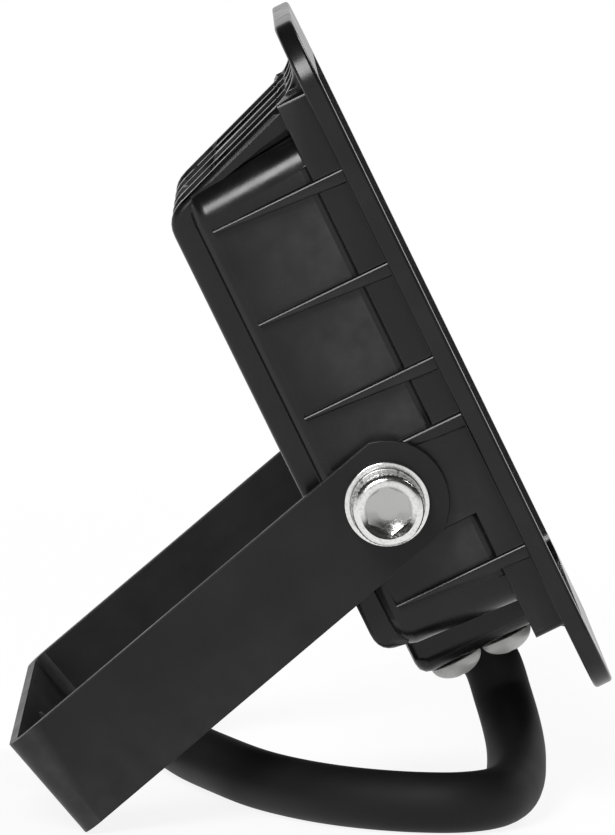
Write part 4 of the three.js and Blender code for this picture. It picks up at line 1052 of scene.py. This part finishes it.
# %% Floor and world
FLOOR_TONE = (0.93, 0.93, 0.93, 1)
FLOOR_HALF = 30
FADE = {"From Min": 0.08, "From Max": 0.5, "To Min": 0.88, "To Max": 1.0}
CEILING = {"From Min": 0.12, "From Max": 0.42, "To Min": 1.0, "To Max": 0.05}
ROOM_LIGHT = 0.35


def mirrored_or_through(tree, ray):
    """1 for a ray that metal or glass sends on."""
    return maths(tree, "MAXIMUM", ray["Is Glossy Ray"], ray["Is Transmission Ray"])


def mixed_shaders(tree, share, first, second):
    return new_node(tree, "ShaderNodeMixShader", {0: share, 1: first, 2: second}).outputs[0]


def add_floor():
    mesh = bmesh.new()
    bmesh.ops.create_grid(mesh, x_segments=1, y_segments=1, size=FLOOR_HALF)
    floor = in_scene("floor", mesh_data("floor", mesh))
    made, tree, shader = new_material("floor_pale")
    feed(tree, shader, {"Base Color": FLOOR_TONE, "Roughness": 0.9, "Specular IOR Level": 0})
    glow = new_node(tree, "ShaderNodeEmission", {"Strength": 1}).outputs[0]
    place = new_node(tree, "ShaderNodeTexCoord").outputs["Object"]
    away = new_node(tree, "ShaderNodeVectorMath", {0: place}, operation="LENGTH").outputs["Value"]
    fade = new_node(tree, "ShaderNodeMapRange", {"Value": away, **FADE}, interpolation_type="SMOOTHSTEP")
    ray = new_node(tree, "ShaderNodeLightPath").outputs
    seen = maths(tree, "MAXIMUM", ray["Is Camera Ray"], mirrored_or_through(tree, ray))
    share = maths(tree, "MULTIPLY", seen, fade.outputs["Result"])
    lit = mixed_shaders(tree, share, shader.outputs[0], glow)
    feed(tree, tree.nodes["Material Output"], {"Surface": lit})
    floor.data.materials.append(made)


def set_world():
    world = bpy.data.worlds.new("studio")
    world.use_nodes = True
    tree = world.node_tree
    room = tree.nodes["Background"]
    feed(tree, room, {"Color": (1, 1, 1, 1), "Strength": ROOM_LIGHT})
    white = new_node(tree, "ShaderNodeBackground", {"Strength": 1.0}).outputs[0]
    towards = new_node(tree, "ShaderNodeTexCoord").outputs["Generated"]
    height = new_node(tree, "ShaderNodeSeparateXYZ", {0: towards}).outputs["Z"]
    ceiling = new_node(tree, "ShaderNodeMapRange", {"Value": height, **CEILING},
                       interpolation_type="SMOOTHSTEP")
    mirrored = new_node(tree, "ShaderNodeBackground", {"Strength": ceiling.outputs["Result"]}).outputs[0]
    ray = new_node(tree, "ShaderNodeLightPath").outputs
    around = mixed_shaders(tree, mirrored_or_through(tree, ray), room.outputs[0], mirrored)
    seen = mixed_shaders(tree, ray["Is Camera Ray"], around, white)
    feed(tree, tree.nodes["World Output"], {"Surface": seen})
    scene.world = world


add_floor()
set_world()
scene.view_settings.view_transform = "Standard"
print("floor and world:", scene.world.name, scene.view_settings.view_transform)

# %% [markdown]
# ## Lamps
# One soft oval lamp on the camera's side draws the long highlight along the rounded corner of the
# body and the thin ones along the ribs. A second one in front keeps the glass side light.

# %% Lamps
LAMP_TARGET = Vector((0, -0.01, 0.055))


def add_lamp(name, towards, distance, size, power):
    """A soft oval, set by the direction in which the object sees the lamp."""
    data = bpy.data.lights.new(name, "AREA")
    data.shape = "ELLIPSE"
    data.size, data.size_y = size
    data.energy = power
    lamp = in_scene(name, data)
    direction = Vector(towards).normalized()
    lamp.location = LAMP_TARGET + direction * distance
    lamp.rotation_euler = (-direction).to_track_quat("-Z", "Y").to_euler()


add_lamp("side_soft", towards=(-0.77, 0.28, 0.58), distance=1.0, size=(0.32, 0.5), power=8.4)
add_lamp("front_soft", towards=(0.45, -0.55, 0.7), distance=1.1, size=(0.5, 0.5), power=6)
